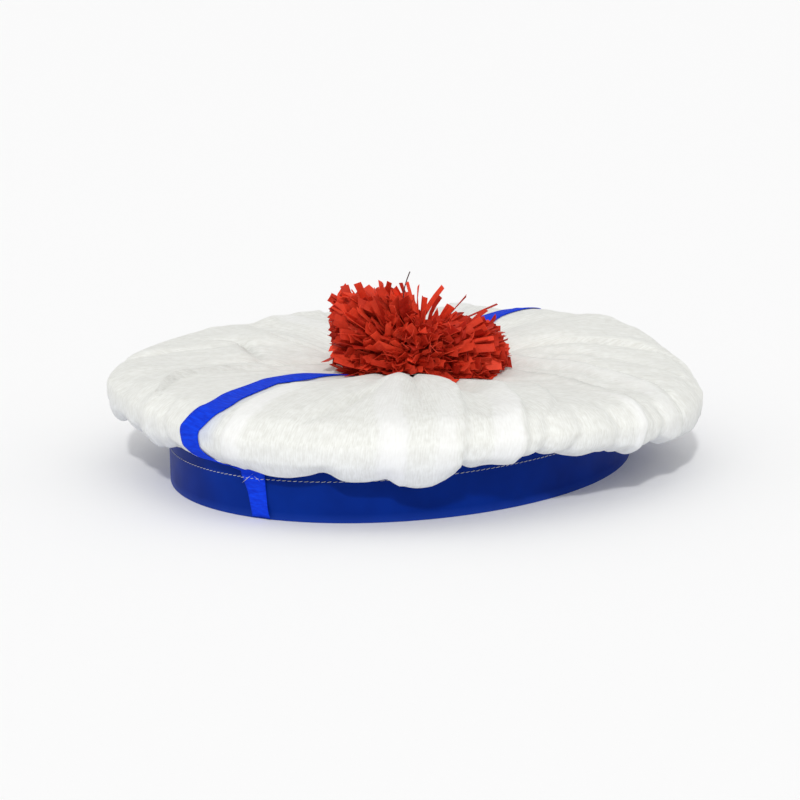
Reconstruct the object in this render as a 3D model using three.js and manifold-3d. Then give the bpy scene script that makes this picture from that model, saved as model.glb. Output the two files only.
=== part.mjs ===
// A pompom sailor cap for parties and carnival: an upright card headband, a crown of thin
// nonwoven cloth sewn inside it and gathered to a point on top, one crepe ribbon laid from
// the front of the band over the gather to the back, and a fringed tissue pompom on top.
//
// Millimetres, +Z up. The cap stands on the lower edge of its band, on z = 0. The band is an
// oval whose long way, front to back, lies along Y, with the front at -Y. The origin is the
// centre of the whole cap's footprint. Azimuths are in degrees, anticlockwise from +X.

import * as THREE from "three";
import { mergeVertices } from "three/addons/utils/BufferGeometryUtils.js";
import Module from "manifold-3d";

const wasm = await Module();
wasm.setup();

// ---------------------------------------------------------------- driving dimensions

const BAND_HALF_LENGTH = 103; // outside, along Y
const BAND_HALF_WIDTH = 84; // outside, along X
const BAND_HEIGHT = 25;
const CARD = 1; // wall of the card band
const LAP = { azimuth: 128, span: 9, ramp: 6 }; // where the card's ends overlap, in degrees

const CLOTH = 1; // wall of the crown
const GAP = 0.3; // left between pieces that touch
const SEAM_HEIGHT = 12; // lower edge of the cloth, inside the band
const GATHER = { x: 3.4, y: 2.1, height: 32.5 }; // the point that the crown is gathered to
const GATHER_RADIUS = 13; // the neck of the gather

const RIBBON = 1; // wall of the ribbon
const RIBBON_WIDTH = 10.5; // on the crown
const RIBBON_END_WIDTH = 7.5; // at the ends, on the band
const RIBBON_END_HEIGHT = 0.8; // of the ends, above the band's lower edge
const RIBBON_FREE_HEIGHT = 17; // where the ribbon leaves the band for the crown
const RIBBON_GAP = 1.25; // to the faceted cloth below it
const RIBBON_BRIDGE = 11; // from the gather, where the ribbon leaves the cloth to cross it

const AROUND = 88; // facets round the crown and the band
const ALONG = 20; // facets from the seam to the gather
const RIBBON_STEPS = 36; // facets of each half of the ribbon, from the roll to the gather

// The crown's outline at twelve azimuths: how far out the rim is from the gather's axis, and
// the heights of the rim, of the top behind it and of the roll that hangs below it.
const SECTIONS = [
  { azimuth: 0, rim: 113, rimHeight: 24, top: 36, hang: 19.5 },
  { azimuth: 30, rim: 111, rimHeight: 24, top: 37, hang: 18.5 },
  { azimuth: 60, rim: 110, rimHeight: 31, top: 43, hang: 23 },
  { azimuth: 90, rim: 112, rimHeight: 34, top: 44.5, hang: 25 },
  { azimuth: 120, rim: 112, rimHeight: 34, top: 43.5, hang: 25.5 },
  { azimuth: 150, rim: 116, rimHeight: 34, top: 42, hang: 25.5 },
  { azimuth: 180, rim: 118, rimHeight: 34, top: 41, hang: 25 },
  { azimuth: 210, rim: 118, rimHeight: 32, top: 39.5, hang: 22 },
  { azimuth: 240, rim: 111, rimHeight: 29, top: 39.5, hang: 21.5 },
  { azimuth: 270, rim: 115, rimHeight: 27, top: 39.5, hang: 19.5 },
  { azimuth: 300, rim: 117, rimHeight: 28, top: 39.5, hang: 20 },
  { azimuth: 330, rim: 115, rimHeight: 28, top: 39, hang: 23.5 },
];

// The valleys between the crown's puffs. Each runs from the gather to the rim, from one
// azimuth to another, and has its depths by the gather, half way out and at the rim.
const VALLEYS = [
  { from: 289, to: 297, width: 7, depth: [3, 1, 0.5] },
  { from: 304, to: 301, width: 6, depth: [6, 2, 1] },
  { from: 326, to: 312, width: 7, depth: [6, 2, 3] },
  { from: 344, to: 321, width: 7, depth: [5, 2, 1.5] },
  { from: 11, to: 353, width: 6, depth: [3, 2.5, 2] },
  { from: 40, to: 15, width: 8, depth: [4, 3, 2] },
  { from: 68, to: 78, width: 8, depth: [4, 4, 2] },
  { from: 96, to: 90, width: 9, depth: [4, 3, 2] },
  { from: 122, to: 118, width: 7, depth: [4, 2, 1.5] },
  { from: 146, to: 140, width: 7, depth: [4, 3, 2] },
  { from: 164, to: 161, width: 6, depth: [3, 5, 2] },
  { from: 204, to: 176, width: 9, depth: [5, 4, 1] },
  { from: 222, to: 200, width: 9, depth: [3, 4, 1.5] },
  { from: 244, to: 260, width: 11, depth: [5, 3, 2] },
  { from: 232, to: 235, width: 6, depth: [2, 3, 2] },
];

// The lobes that hang from the roll: where, how wide in degrees, and how much lower.
const LOBES = [
  { azimuth: 278, width: 9, drop: 2 },
  { azimuth: 296, width: 4, drop: 1 },
  { azimuth: 304, width: 5, drop: 3.4 },
  { azimuth: 338, width: 7, drop: 2 },
  { azimuth: 8, width: 7, drop: 2.5 },
  { azimuth: 44, width: 8, drop: 2 },
  { azimuth: 98, width: 9, drop: 2 },
  { azimuth: 152, width: 8, drop: 2 },
  { azimuth: 196, width: 8, drop: 1.5 },
];

// The two halves of the ribbon's way: the azimuths of its end on the band, of the stitches
// above it, of the rim, of the place half way in and of the bridge over the gather.
const RIBBON_HALVES = [
  { end: 271.6, seam: 269.6, rim: 256, middle: 250, bridge: 222 },
  { end: 90, seam: 91, rim: 92, middle: 94, bridge: 96 },
];

// The lobes of the pompom: where each is from the gather, and its half sizes.
const POMPOM = [
  { x: -10, y: -2, z: 17, sizes: [20, 22, 18] },
  { x: 15, y: 7, z: 11.5, sizes: [20.5, 20, 13.5] },
  { x: 3, y: 3, z: 12, sizes: [24, 23, 15] },
];
const POMPOM_TUFT = 1.6; // how far the tufts of the fringe stand out
const POMPOM_DETAIL = 6;

// ---------------------------------------------------------------- small helpers

const radians = THREE.MathUtils.degToRad;
const { lerp, smoothstep, RAD2DEG } = THREE.MathUtils;

// Places along the crown's outline, from 0 at the seam to 1 at the gather.
const SPANS = 14;
const PLACE = {
  edge: 3 / SPANS, // over the band's top edge
  under: 4 / SPANS,
  hang: 5 / SPANS, // the lowest part of the roll
  belly: 6 / SPANS,
  rim: 7 / SPANS,
  shoulder: 9 / SPANS,
  middle: 10 / SPANS,
  neck: 13 / SPANS,
};

// A point at an azimuth, a distance from the Z axis and a height.
function polar(azimuth, radius, height) {
  return new THREE.Vector3(
    radius * Math.cos(radians(azimuth)),
    radius * Math.sin(radians(azimuth)),
    height,
  );
}

// The smaller angle from one azimuth to another, from -180 to 180 degrees.
function turn(from, to) {
  return ((((to - from) % 360) + 540) % 360) - 180;
}

// A bump of height 1 at offset 0 that falls smoothly to 0 at about twice the width.
function bump(offset, width) {
  return Math.exp(-((offset / width) ** 2));
}

// A value of the section table at any azimuth, as a smooth curve through its rows.
function sectionValue(key, azimuth) {
  const count = SECTIONS.length;
  const place = ((((azimuth % 360) + 360) % 360) / 360) * count;
  const row = Math.floor(place);
  const part = place - row;
  const [a, b, c, d] = [-1, 0, 1, 2].map((i) => SECTIONS[(row + i + count) % count][key]);
  const bend = 2 * a - 5 * b + 4 * c - d;
  const twist = 3 * (b - c) + d - a;
  return b + 0.5 * part * (c - a + part * (bend + part * twist));
}

// The distance from the centre to the band's outside, at an azimuth.
function bandRadius(azimuth) {
  const across = BAND_HALF_LENGTH * Math.cos(radians(azimuth));
  const along = BAND_HALF_WIDTH * Math.sin(radians(azimuth));
  return (BAND_HALF_LENGTH * BAND_HALF_WIDTH) / Math.hypot(across, along);
}

// ---------------------------------------------------------------- the crown's surface

// The outline of the crown at an azimuth, as [distance out, height] from seam to gather.
function profile(azimuth) {
  const card = bandRadius(azimuth);
  const inside = card - CARD - GAP;
  const rim = sectionValue("rim", azimuth);
  const rimHeight = sectionValue("rimHeight", azimuth);
  const top = sectionValue("top", azimuth);
  const lobe = LOBES.reduce(
    (sum, row) => sum + row.drop * bump(turn(row.azimuth, azimuth), row.width),
    0,
  );
  const hang = sectionValue("hang", azimuth) - lobe;
  const roll = Math.max(card + 5, rim - 6);
  return [
    [inside, SEAM_HEIGHT],
    [inside, 0.5 * (SEAM_HEIGHT + BAND_HEIGHT)],
    [inside - 0.3, BAND_HEIGHT - 0.5],
    [card + 0.2, BAND_HEIGHT + 2.2],
    [lerp(card, roll, 0.6), lerp(BAND_HEIGHT + 1, hang, 0.7)],
    [roll, hang],
    [rim - 1, lerp(hang, rimHeight, 0.6)],
    [rim - 0.4, lerp(rimHeight, top, 0.35)],
    [rim - 7, lerp(rimHeight, top, 0.85)],
    [rim - 18, top],
    [0.62 * rim, top + 1],
    [0.4 * rim, lerp(top, GATHER.height, 0.15)],
    [2 * GATHER_RADIUS, lerp(top, GATHER.height, 0.4)],
    [GATHER_RADIUS, lerp(top, GATHER.height, 0.9)],
    [0, GATHER.height],
  ];
}

// How deep the valleys are at a place on the crown. Share is 0 at the rim and 1 at the gather.
function valleyDepth(azimuth, share, radius) {
  return VALLEYS.reduce((deepest, row) => {
    const centre = row.to + turn(row.to, row.from) * share;
    const [inner, middle, outer] = row.depth;
    const depth = share > 0.5 ? lerp(middle, inner, 2 * share - 1) : lerp(outer, middle, 2 * share);
    const offset = radians(turn(centre, azimuth)) * radius;
    return Math.max(deepest, depth * bump(offset, row.width));
  }, 0);
}

// A point of the crown's outer face. Place is 0 at the seam and 1 at the gather.
function crownPoint(azimuth, place) {
  const outline = profile(azimuth);
  const at = Math.min(place, 1) * SPANS;
  const row = Math.min(Math.floor(at), SPANS - 1);
  const part = at - row;
  const pick = (i) => outline[Math.min(Math.max(i, 0), SPANS)];
  const [a, b, c, d] = [row - 1, row, row + 1, row + 2].map(pick);
  const [radius, height] = [0, 1].map((k) => {
    const start = (c[k] - a[k]) / 3;
    const end = (d[k] - b[k]) / 3;
    return (
      b[k] * (1 + 2 * part) * (1 - part) ** 2 +
      start * part * (1 - part) ** 2 +
      c[k] * part ** 2 * (3 - 2 * part) +
      end * part ** 2 * (part - 1)
    );
  });
  const share = smoothstep(place, PLACE.rim, PLACE.neck);
  const outside = smoothstep(place, PLACE.under, PLACE.belly);
  const fade = smoothstep(radius, 0.3 * GATHER_RADIUS, 2 * GATHER_RADIUS);
  const spread = Math.max(radius, 0.6 * GATHER_RADIUS);
  const depth = valleyDepth(azimuth, share, spread) * outside * fade;
  const flat = smoothstep(place, PLACE.belly, PLACE.shoulder);
  const inward = depth * (1 - flat);
  const shift = smoothstep(place, PLACE.edge, PLACE.shoulder);
  return new THREE.Vector3(
    (radius - inward) * Math.cos(radians(azimuth)) + GATHER.x * shift,
    (radius - inward) * Math.sin(radians(azimuth)) + GATHER.y * shift,
    height - depth * flat,
  );
}

// The outward direction of the crown's face at a place, from its slopes round and inward.
function crownNormal(azimuth, place) {
  const step = 0.008;
  const near = Math.min(place, 1 - 2 * step);
  const round = crownPoint(azimuth + 1, near).sub(crownPoint(azimuth - 1, near));
  const inward = crownPoint(azimuth, near + step).sub(crownPoint(azimuth, near - step));
  return round.cross(inward).normalize();
}

// ---------------------------------------------------------------- meshes from grids

// A closed wall between two grids of points, outer and inner, each a list of rows. With
// ringed, the rows close on themselves. With poled, the last row is one point.
function wall(outer, inner, ringed, poled) {
  const columns = outer[0].length;
  const points = [...outer.flat(), ...inner.flat()];
  const half = outer.flat().length;
  const faces = [];
  const index = (row, column) => row * columns + (ringed ? column % columns : column);
  const quad = (a, b, c, d) => faces.push(a, b, c, a, c, d);
  const rows = poled ? outer.length - 2 : outer.length - 1;
  const across = ringed ? columns : columns - 1;
  for (let r = 0; r < rows; r++) {
    for (let c = 0; c < across; c++) {
      const [a, b] = [index(r, c), index(r, c + 1)];
      const [d, e] = [index(r + 1, c), index(r + 1, c + 1)];
      quad(a, b, e, d);
      quad(half + d, half + e, half + b, half + a);
    }
  }
  for (let c = 0; c < across; c++) {
    const [a, b] = [index(0, c), index(0, c + 1)];
    quad(half + a, half + b, b, a);
    const [d, e] = [index(rows, c), index(rows, c + 1)];
    if (poled) {
      const pole = half - 1;
      faces.push(d, e, pole, half + e, half + d, half + pole);
    } else {
      quad(d, e, half + e, half + d);
    }
  }
  if (!ringed) {
    for (let r = 0; r < rows; r++) {
      const [a, d] = [index(r, 0), index(r + 1, 0)];
      quad(d, half + d, half + a, a);
      const [b, e] = [index(r, columns - 1), index(r + 1, columns - 1)];
      quad(b, half + b, half + e, e);
    }
  }
  const geometry = new THREE.BufferGeometry().setFromPoints(points);
  geometry.setIndex(faces);
  geometry.computeVertexNormals();
  return geometry;
}

function toManifold(geometry) {
  const bare = geometry.clone();
  bare.deleteAttribute("normal");
  bare.deleteAttribute("uv");
  const merged = mergeVertices(bare, 1e-3);
  return new wasm.Manifold(
    new wasm.Mesh({
      numProp: 3,
      vertProperties: merged.attributes.position.array,
      triVerts: new Uint32Array(merged.index.array),
    }),
  );
}

function fromManifold(solid) {
  const mesh = solid.getMesh();
  const geometry = new THREE.BufferGeometry();
  geometry.setAttribute("position", new THREE.BufferAttribute(mesh.vertProperties, 3));
  geometry.setIndex(new THREE.BufferAttribute(mesh.triVerts, 1));
  geometry.computeVertexNormals();
  return geometry;
}

// ---------------------------------------------------------------- the pieces

// The headband: a strip of card bent to an oval, its ends lapped at the back.
function band() {
  const outline = (offset) =>
    Array.from({ length: AROUND }, (_, i) => {
      const azimuth = (i * 360) / AROUND;
      const radius = bandRadius(azimuth) + offset(azimuth);
      return new THREE.Vector2(
        radius * Math.cos(radians(azimuth)),
        radius * Math.sin(radians(azimuth)),
      );
    });
  const lap = (azimuth) => {
    const past = turn(LAP.azimuth, azimuth);
    if (past < 0) return 0;
    return CARD * (1 - smoothstep(past, LAP.span, LAP.span + LAP.ramp));
  };
  const shape = new THREE.Shape(outline(lap));
  shape.holes.push(new THREE.Path(outline(() => -CARD)));
  return new THREE.ExtrudeGeometry(shape, { depth: BAND_HEIGHT, bevelEnabled: false });
}

// The crown: one wall of cloth from the seam inside the band, out over its edge, round the
// rim and in to the gather.
function crown() {
  const azimuths = Array.from({ length: AROUND }, (_, i) => (i * 360) / AROUND);
  const outer = [];
  const inner = [];
  for (let r = 0; r < ALONG; r++) {
    const place = r / ALONG;
    const row = azimuths.map((azimuth) => crownPoint(azimuth, place));
    outer.push(row);
    inner.push(
      row.map((point, i) => point.clone().addScaledVector(crownNormal(azimuths[i], place), -CLOTH)),
    );
  }
  const gather = crownPoint(0, 1);
  outer.push([gather]);
  inner.push([gather.clone().setZ(gather.z - CLOTH)]);
  return wall(outer, inner, true, true);
}

// The ribbon: up the outside of the band at the front, under the roll, round the rim, over the
// gather and down the same way at the back, lying on the cloth except where it bridges.
function ribbon() {
  const [front, back] = RIBBON_HALVES.map((half, i) => ribbonHalf(half, i === 0 ? 1 : -1));
  const rows = [...front, ...ribbonBridge(front.at(-1), back.at(-1)), ...back.reverse()];
  return wall(
    rows.map((row) => row.map((pair) => pair.outside)),
    rows.map((row) => row.map((pair) => pair.inside)),
    false,
    false,
  );
}

// The rows of one half of the ribbon, from its end on the band to the bridge. Side is 1 where
// the ribbon's left to right goes anticlockwise, else -1.
function ribbonHalf(half, side) {
  const shares = [-0.5, -0.25, 0, 0.25, 0.5];
  const rows = [];
  for (const up of [0, 1 / 3, 2 / 3, 1]) {
    const height = lerp(RIBBON_END_HEIGHT, RIBBON_FREE_HEIGHT, up);
    const centre = lerp(half.end, half.seam, up);
    const width = lerp(RIBBON_END_WIDTH, RIBBON_WIDTH, 0.5 * up);
    rows.push(
      shares.map((share) => {
        const azimuth = centre + (side * share * width * RAD2DEG) / bandRadius(centre);
        const out = bandRadius(azimuth) + RIBBON_GAP;
        return { inside: polar(azimuth, out, height), outside: polar(azimuth, out + RIBBON, height) };
      }),
    );
  }
  const first = lerp(PLACE.under, PLACE.hang, 0.6);
  for (let i = 0; i <= RIBBON_STEPS; i++) {
    const place = lerp(first, 1, i / RIBBON_STEPS);
    const centre = ribbonAzimuth(half, place);
    const middle = crownPoint(centre, place);
    const radius = Math.hypot(middle.x - GATHER.x, middle.y - GATHER.y);
    if (radius < RIBBON_BRIDGE) break;
    const widening = smoothstep(place, first, PLACE.rim);
    const width = lerp(0.5 * (RIBBON_END_WIDTH + RIBBON_WIDTH), RIBBON_WIDTH, widening);
    rows.push(
      shares.map((share) => {
        const azimuth = centre + (side * share * width * RAD2DEG) / radius;
        const point = crownPoint(azimuth, place);
        const normal = crownNormal(azimuth, place);
        return {
          inside: point.clone().addScaledVector(normal, RIBBON_GAP),
          outside: point.clone().addScaledVector(normal, RIBBON_GAP + RIBBON),
        };
      }),
    );
  }
  return rows;
}

// The azimuth of the ribbon's middle line at a place on the crown.
function ribbonAzimuth(half, place) {
  const { under, rim, middle } = PLACE;
  if (place < rim) return lerp(half.seam, half.rim, smoothstep(place, under, rim));
  if (place < middle) return lerp(half.rim, half.middle, (place - rim) / (middle - rim));
  return lerp(half.middle, half.bridge, (place - middle) / (1 - middle));
}

// The rows that carry the ribbon straight across between its two halves.
function ribbonBridge(from, to) {
  return [0.25, 0.5, 0.75].map((share) =>
    from.map((pair, i) => ({
      inside: pair.inside.clone().lerp(to[i].inside, share),
      outside: pair.outside.clone().lerp(to[i].outside, share),
    })),
  );
}

// The pompom: the outer form of its fringe, with a hollow below for the puffs that it sits in.
function pompom() {
  const lobes = POMPOM.map((lobe) => {
    const geometry = new THREE.IcosahedronGeometry(1, POMPOM_DETAIL);
    const position = geometry.getAttribute("position");
    const point = new THREE.Vector3();
    for (let i = 0; i < position.count; i++) {
      point.fromBufferAttribute(position, i);
      const wave = Math.sin(9 * point.x + 2) * Math.sin(8 * point.y + 1) * Math.sin(9 * point.z);
      const size = 1 + (POMPOM_TUFT / lobe.sizes[0]) * wave;
      point.multiplyScalar(size).multiply(new THREE.Vector3(...lobe.sizes));
      point.add(new THREE.Vector3(GATHER.x + lobe.x, GATHER.y + lobe.y, GATHER.height + lobe.z));
      position.setXYZ(i, point.x, point.y, point.z);
    }
    return toManifold(geometry);
  });
  const whole = lobes.reduce((sum, lobe) => sum.add(lobe));
  return fromManifold(whole.subtract(bedding()));
}

// The block of space that the gathered cloth and the strips take below the pompom.
function bedding() {
  const rows = 16;
  const rise = RIBBON_GAP + RIBBON + GAP + 0.5;
  const azimuths = Array.from({ length: AROUND }, (_, i) => (i * 360) / AROUND);
  const outer = [];
  const inner = [];
  for (let r = 0; r < rows; r++) {
    const place = lerp(PLACE.shoulder, 1, r / rows);
    const row = azimuths.map((azimuth) => crownPoint(azimuth, place));
    outer.push(row.map((point) => point.clone().setZ(point.z + rise)));
    inner.push(row.map((point) => point.clone().setZ(0)));
  }
  const gather = crownPoint(0, 1);
  outer.push([gather.clone().setZ(gather.z + rise)]);
  inner.push([gather.clone().setZ(0)]);
  return toManifold(wall(outer, inner, true, true));
}

// ---------------------------------------------------------------- colours and assembly

const card = new THREE.MeshStandardMaterial({ color: "#12318c", roughness: 0.4, metalness: 0 });
const nonwoven = new THREE.MeshStandardMaterial({ color: "#f1f0ea", roughness: 0.9, metalness: 0 });
const crepe = new THREE.MeshStandardMaterial({ color: "#1c46d8", roughness: 0.85, metalness: 0 });
const tissue = new THREE.MeshStandardMaterial({ color: "#c43a28", roughness: 0.8, metalness: 0 });

function piece(name, geometry, material) {
  const mesh = new THREE.Mesh(geometry, material);
  mesh.name = name;
  return mesh;
}

const cap = new THREE.Group();
cap.name = "sailor_cap";
cap.add(piece("band", band(), card));
cap.add(piece("crown", crown(), nonwoven));
cap.add(piece("ribbon", ribbon(), crepe));
cap.add(piece("pompom", pompom(), tissue));

// The pieces are moved together so that the origin is the middle of the cap's footprint.
const footprint = new THREE.Box3().setFromObject(cap).getCenter(new THREE.Vector3());
cap.children.forEach((mesh) => mesh.position.set(-footprint.x, -footprint.y, 0));

export default cap;
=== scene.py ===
"""A pompom sailor cap for parties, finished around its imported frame.

The cap stands on the lower edge of its band. Lengths in this file are millimetres until a mesh is
made. Azimuths are degrees, anticlockwise from +X seen from above. The front of the cap is at -Y.
"""

import logging
import math
from dataclasses import dataclass
from enum import Enum

import bpy
import numpy as np
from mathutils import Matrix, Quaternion, Vector

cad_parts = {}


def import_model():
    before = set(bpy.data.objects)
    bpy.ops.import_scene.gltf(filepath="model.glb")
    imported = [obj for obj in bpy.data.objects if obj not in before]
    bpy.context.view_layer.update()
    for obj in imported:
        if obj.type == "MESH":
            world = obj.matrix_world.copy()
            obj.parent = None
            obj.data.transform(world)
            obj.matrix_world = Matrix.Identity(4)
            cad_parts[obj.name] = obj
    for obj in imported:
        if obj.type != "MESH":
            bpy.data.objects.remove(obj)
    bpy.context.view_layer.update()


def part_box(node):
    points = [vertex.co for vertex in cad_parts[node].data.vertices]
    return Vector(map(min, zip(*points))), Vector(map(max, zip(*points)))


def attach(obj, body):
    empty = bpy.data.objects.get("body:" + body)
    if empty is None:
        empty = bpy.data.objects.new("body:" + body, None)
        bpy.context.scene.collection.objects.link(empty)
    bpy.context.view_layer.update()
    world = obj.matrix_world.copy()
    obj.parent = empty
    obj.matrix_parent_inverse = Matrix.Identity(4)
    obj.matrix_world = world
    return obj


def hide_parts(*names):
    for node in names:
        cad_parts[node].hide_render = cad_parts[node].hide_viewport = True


Array = np.ndarray
MM = 0.001
LOG = logging.getLogger("sailor_cap")


# ------------------------------------------------------------------ number helpers


def turn(start: Array | float, end: Array | float) -> Array | float:
    """The smaller angle from one azimuth to another.

    Args:
        start: The first azimuth, in degrees.
        end: The second azimuth, in degrees.

    Returns:
        The angle, from -180 to 180 degrees.
    """
    return (end - start + 180.0) % 360.0 - 180.0


def mix(start: Array | float, end: Array | float, share: Array | float) -> Array | float:
    """The value that share of the way from start to end."""
    return start + (end - start) * share


def ease(value: Array | float, low: float, high: float) -> Array:
    """A smooth step: 0 up to low, 1 from high on, and 3t^2 - 2t^3 between them."""
    part = np.clip((np.asarray(value, float) - low) / (high - low), 0.0, 1.0)
    return part * part * (3.0 - 2.0 * part)


def along_table(values: Array, place: Array) -> Array:
    """A smooth curve through evenly spaced values, eased from each to the next.

    Args:
        values: The values, first to last.
        place: Where to read them, from 0 at the first to 1 at the last.

    Returns:
        The value at each place.
    """
    values = np.asarray(values, float)
    at = np.clip(place, 0.0, 1.0) * (len(values) - 1)
    row = np.minimum(np.floor(at).astype(int), len(values) - 2)
    return mix(values[row], values[row + 1], ease(at - row, 0.0, 1.0))


def ring_noise(azimuth: Array, across: Array, cells: int, rows: int, seed: int) -> Array:
    """Smooth random values on a ring, from a lattice of random numbers eased between its points.

    Args:
        azimuth: Degrees round the ring. The pattern closes on itself after 360.
        across: The other way over the pattern, from 0 to 1.
        cells: Lattice cells round the ring.
        rows: Lattice cells across.
        seed: The seed of the lattice.

    Returns:
        Values from -1 to 1.
    """
    lattice = np.random.default_rng(seed).uniform(-1.0, 1.0, (cells, rows + 2))
    u = (np.asarray(azimuth, float) % 360.0) / 360.0 * cells
    v = np.clip(across, 0.0, 1.0) * rows
    i, j = np.floor(u).astype(int), np.floor(v).astype(int)
    a, b = ease(u - i, 0.0, 1.0), ease(v - j, 0.0, 1.0)
    i, k = i % cells, (i + 1) % cells
    return mix(mix(lattice[i, j], lattice[k, j], a), mix(lattice[i, j + 1], lattice[k, j + 1], a), b)


def unit(vectors: Array) -> Array:
    """The vectors at length 1, along the last axis."""
    return vectors / np.maximum(np.linalg.norm(vectors, axis=-1, keepdims=True), 1e-9)


def around(azimuth: Array, radius: Array, height: Array) -> Array:
    """Points round the Z axis: the distance times the azimuth's cosine and sine, and the height.

    Args:
        azimuth: In degrees.
        radius: The distance from the axis.
        height: The height.

    Returns:
        Points as (..., 3).
    """
    angle = np.radians(azimuth)
    parts = np.broadcast_arrays(radius * np.cos(angle), radius * np.sin(angle), height)
    return np.stack(parts, axis=-1)


# ------------------------------------------------------------------ mesh helpers


def grid_faces(rows: int, columns: int, ringed: bool) -> Array:
    """Quads over a grid of points stored row by row.

    Args:
        rows: Rows of points.
        columns: Points in a row.
        ringed: Whether each row closes on itself.

    Returns:
        Faces as (n, 4), facing along column direction x row direction.
    """
    across = columns if ringed else columns - 1
    r, c = np.meshgrid(np.arange(rows - 1), np.arange(across), indexing="ij")
    d = (c + 1) % columns
    corners = (r * columns + c, r * columns + d, (r + 1) * columns + d, (r + 1) * columns + c)
    return np.stack(corners, axis=-1).reshape(-1, 4)


def make_mesh(name: str, points: Array, faces: list[Array], smooth: bool = True) -> bpy.types.Object:
    """Puts points and faces into a new object at the origin.

    Args:
        name: The piece's name.
        points: Points in millimetres, (n, 3).
        faces: Arrays of faces, each (m, corners).
        smooth: Whether the faces are shaded smooth.

    Returns:
        The object, linked to the scene.
    """
    mesh = bpy.data.meshes.new(name)
    corners = np.concatenate([part.ravel() for part in faces]).astype(np.int32)
    sizes = np.concatenate([np.full(len(part), part.shape[1]) for part in faces])
    starts = np.concatenate([[0], np.cumsum(sizes)[:-1]]).astype(np.int32)
    mesh.vertices.add(len(points))
    mesh.vertices.foreach_set("co", (np.asarray(points, float) * MM).astype(np.float32).ravel())
    mesh.loops.add(len(corners))
    mesh.loops.foreach_set("vertex_index", corners)
    mesh.polygons.add(len(sizes))
    mesh.polygons.foreach_set("loop_start", starts)
    mesh.polygons.foreach_set("use_smooth", np.full(len(sizes), smooth))
    mesh.update(calc_edges=True)
    mesh.validate()
    piece = bpy.data.objects.new(name, mesh)
    bpy.context.scene.collection.objects.link(piece)
    return piece


def add_values(piece: bpy.types.Object, name: str, values: Array) -> None:
    """Stores one number for each point of a piece, for its material to read."""
    layer = piece.data.attributes.new(name, "FLOAT", "POINT")
    layer.data.foreach_set("value", np.asarray(values, np.float32).ravel())


def add_uv(piece: bpy.types.Object, places: Array) -> None:
    """Stores a flat place, in metres, for each point of a piece, as its UV map.

    Args:
        piece: The piece.
        places: The flat place of each point in millimetres, (n, 2).
    """
    mesh = piece.data
    corners = np.empty(len(mesh.loops), np.int32)
    mesh.loops.foreach_get("vertex_index", corners)
    layer = mesh.uv_layers.new(name="flat_metres")
    layer.data.foreach_set("uv", (places[corners] * MM).astype(np.float32).ravel())


def sheet_mesh(name: str, middle: Array, normal: Array, thickness: float) -> bpy.types.Object:
    """A thin closed strip: the grid moved half the thickness each way along its normals.

    Args:
        name: The piece's name.
        middle: Grid of points, (rows, columns, 3), in millimetres.
        normal: The grid's unit normals.
        thickness: Of the strip, in millimetres.

    Returns:
        The object. The points of the upper face come first, then those of the lower face.
    """
    rows, columns = middle.shape[:2]
    count = rows * columns
    upper = middle + normal * thickness / 2
    lower = middle - normal * thickness / 2
    points = np.concatenate([upper.reshape(-1, 3), lower.reshape(-1, 3)])
    top = grid_faces(rows, columns, False)
    index = np.arange(count).reshape(rows, columns)
    edge = np.concatenate([index[0, :-1], index[:-1, -1], index[-1, :0:-1], index[:0:-1, 0]])
    after = np.roll(edge, -1)
    sides = np.stack([edge, edge + count, after + count, after], axis=-1)
    return make_mesh(name, points, [top, top[:, ::-1] + count, sides])


# ------------------------------------------------------------------ finishes


def linear(code: str) -> tuple[float, float, float, float]:
    """An sRGB hex colour as linear values, by the sRGB curve.

    Args:
        code: The colour, as # and six hex digits.

    Returns:
        Linear red, green, blue and an alpha of 1.
    """
    parts = [int(code[i : i + 2], 16) / 255.0 for i in (1, 3, 5)]
    curved = [p / 12.92 if p <= 0.04045 else ((p + 0.055) / 1.055) ** 2.4 for p in parts]
    return (*curved, 1.0)


def add_node(tree: bpy.types.NodeTree, kind: str, inputs: dict, **settings: object) -> bpy.types.Node:
    """Adds one node to a material.

    Args:
        tree: The material's node tree.
        kind: The node's type.
        inputs: Socket name or number to a value, or to an output socket to link.
        settings: The node's own settings.

    Returns:
        The node.
    """
    node = tree.nodes.new(kind)
    for key, value in settings.items():
        setattr(node, key, value)
    for key, value in inputs.items():
        if isinstance(value, bpy.types.NodeSocket):
            tree.links.new(value, node.inputs[key])
        else:
            node.inputs[key].default_value = value
    return node


MIX_FACTOR, MIX_A, MIX_B, MIX_RESULT = 0, 6, 7, 2


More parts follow.
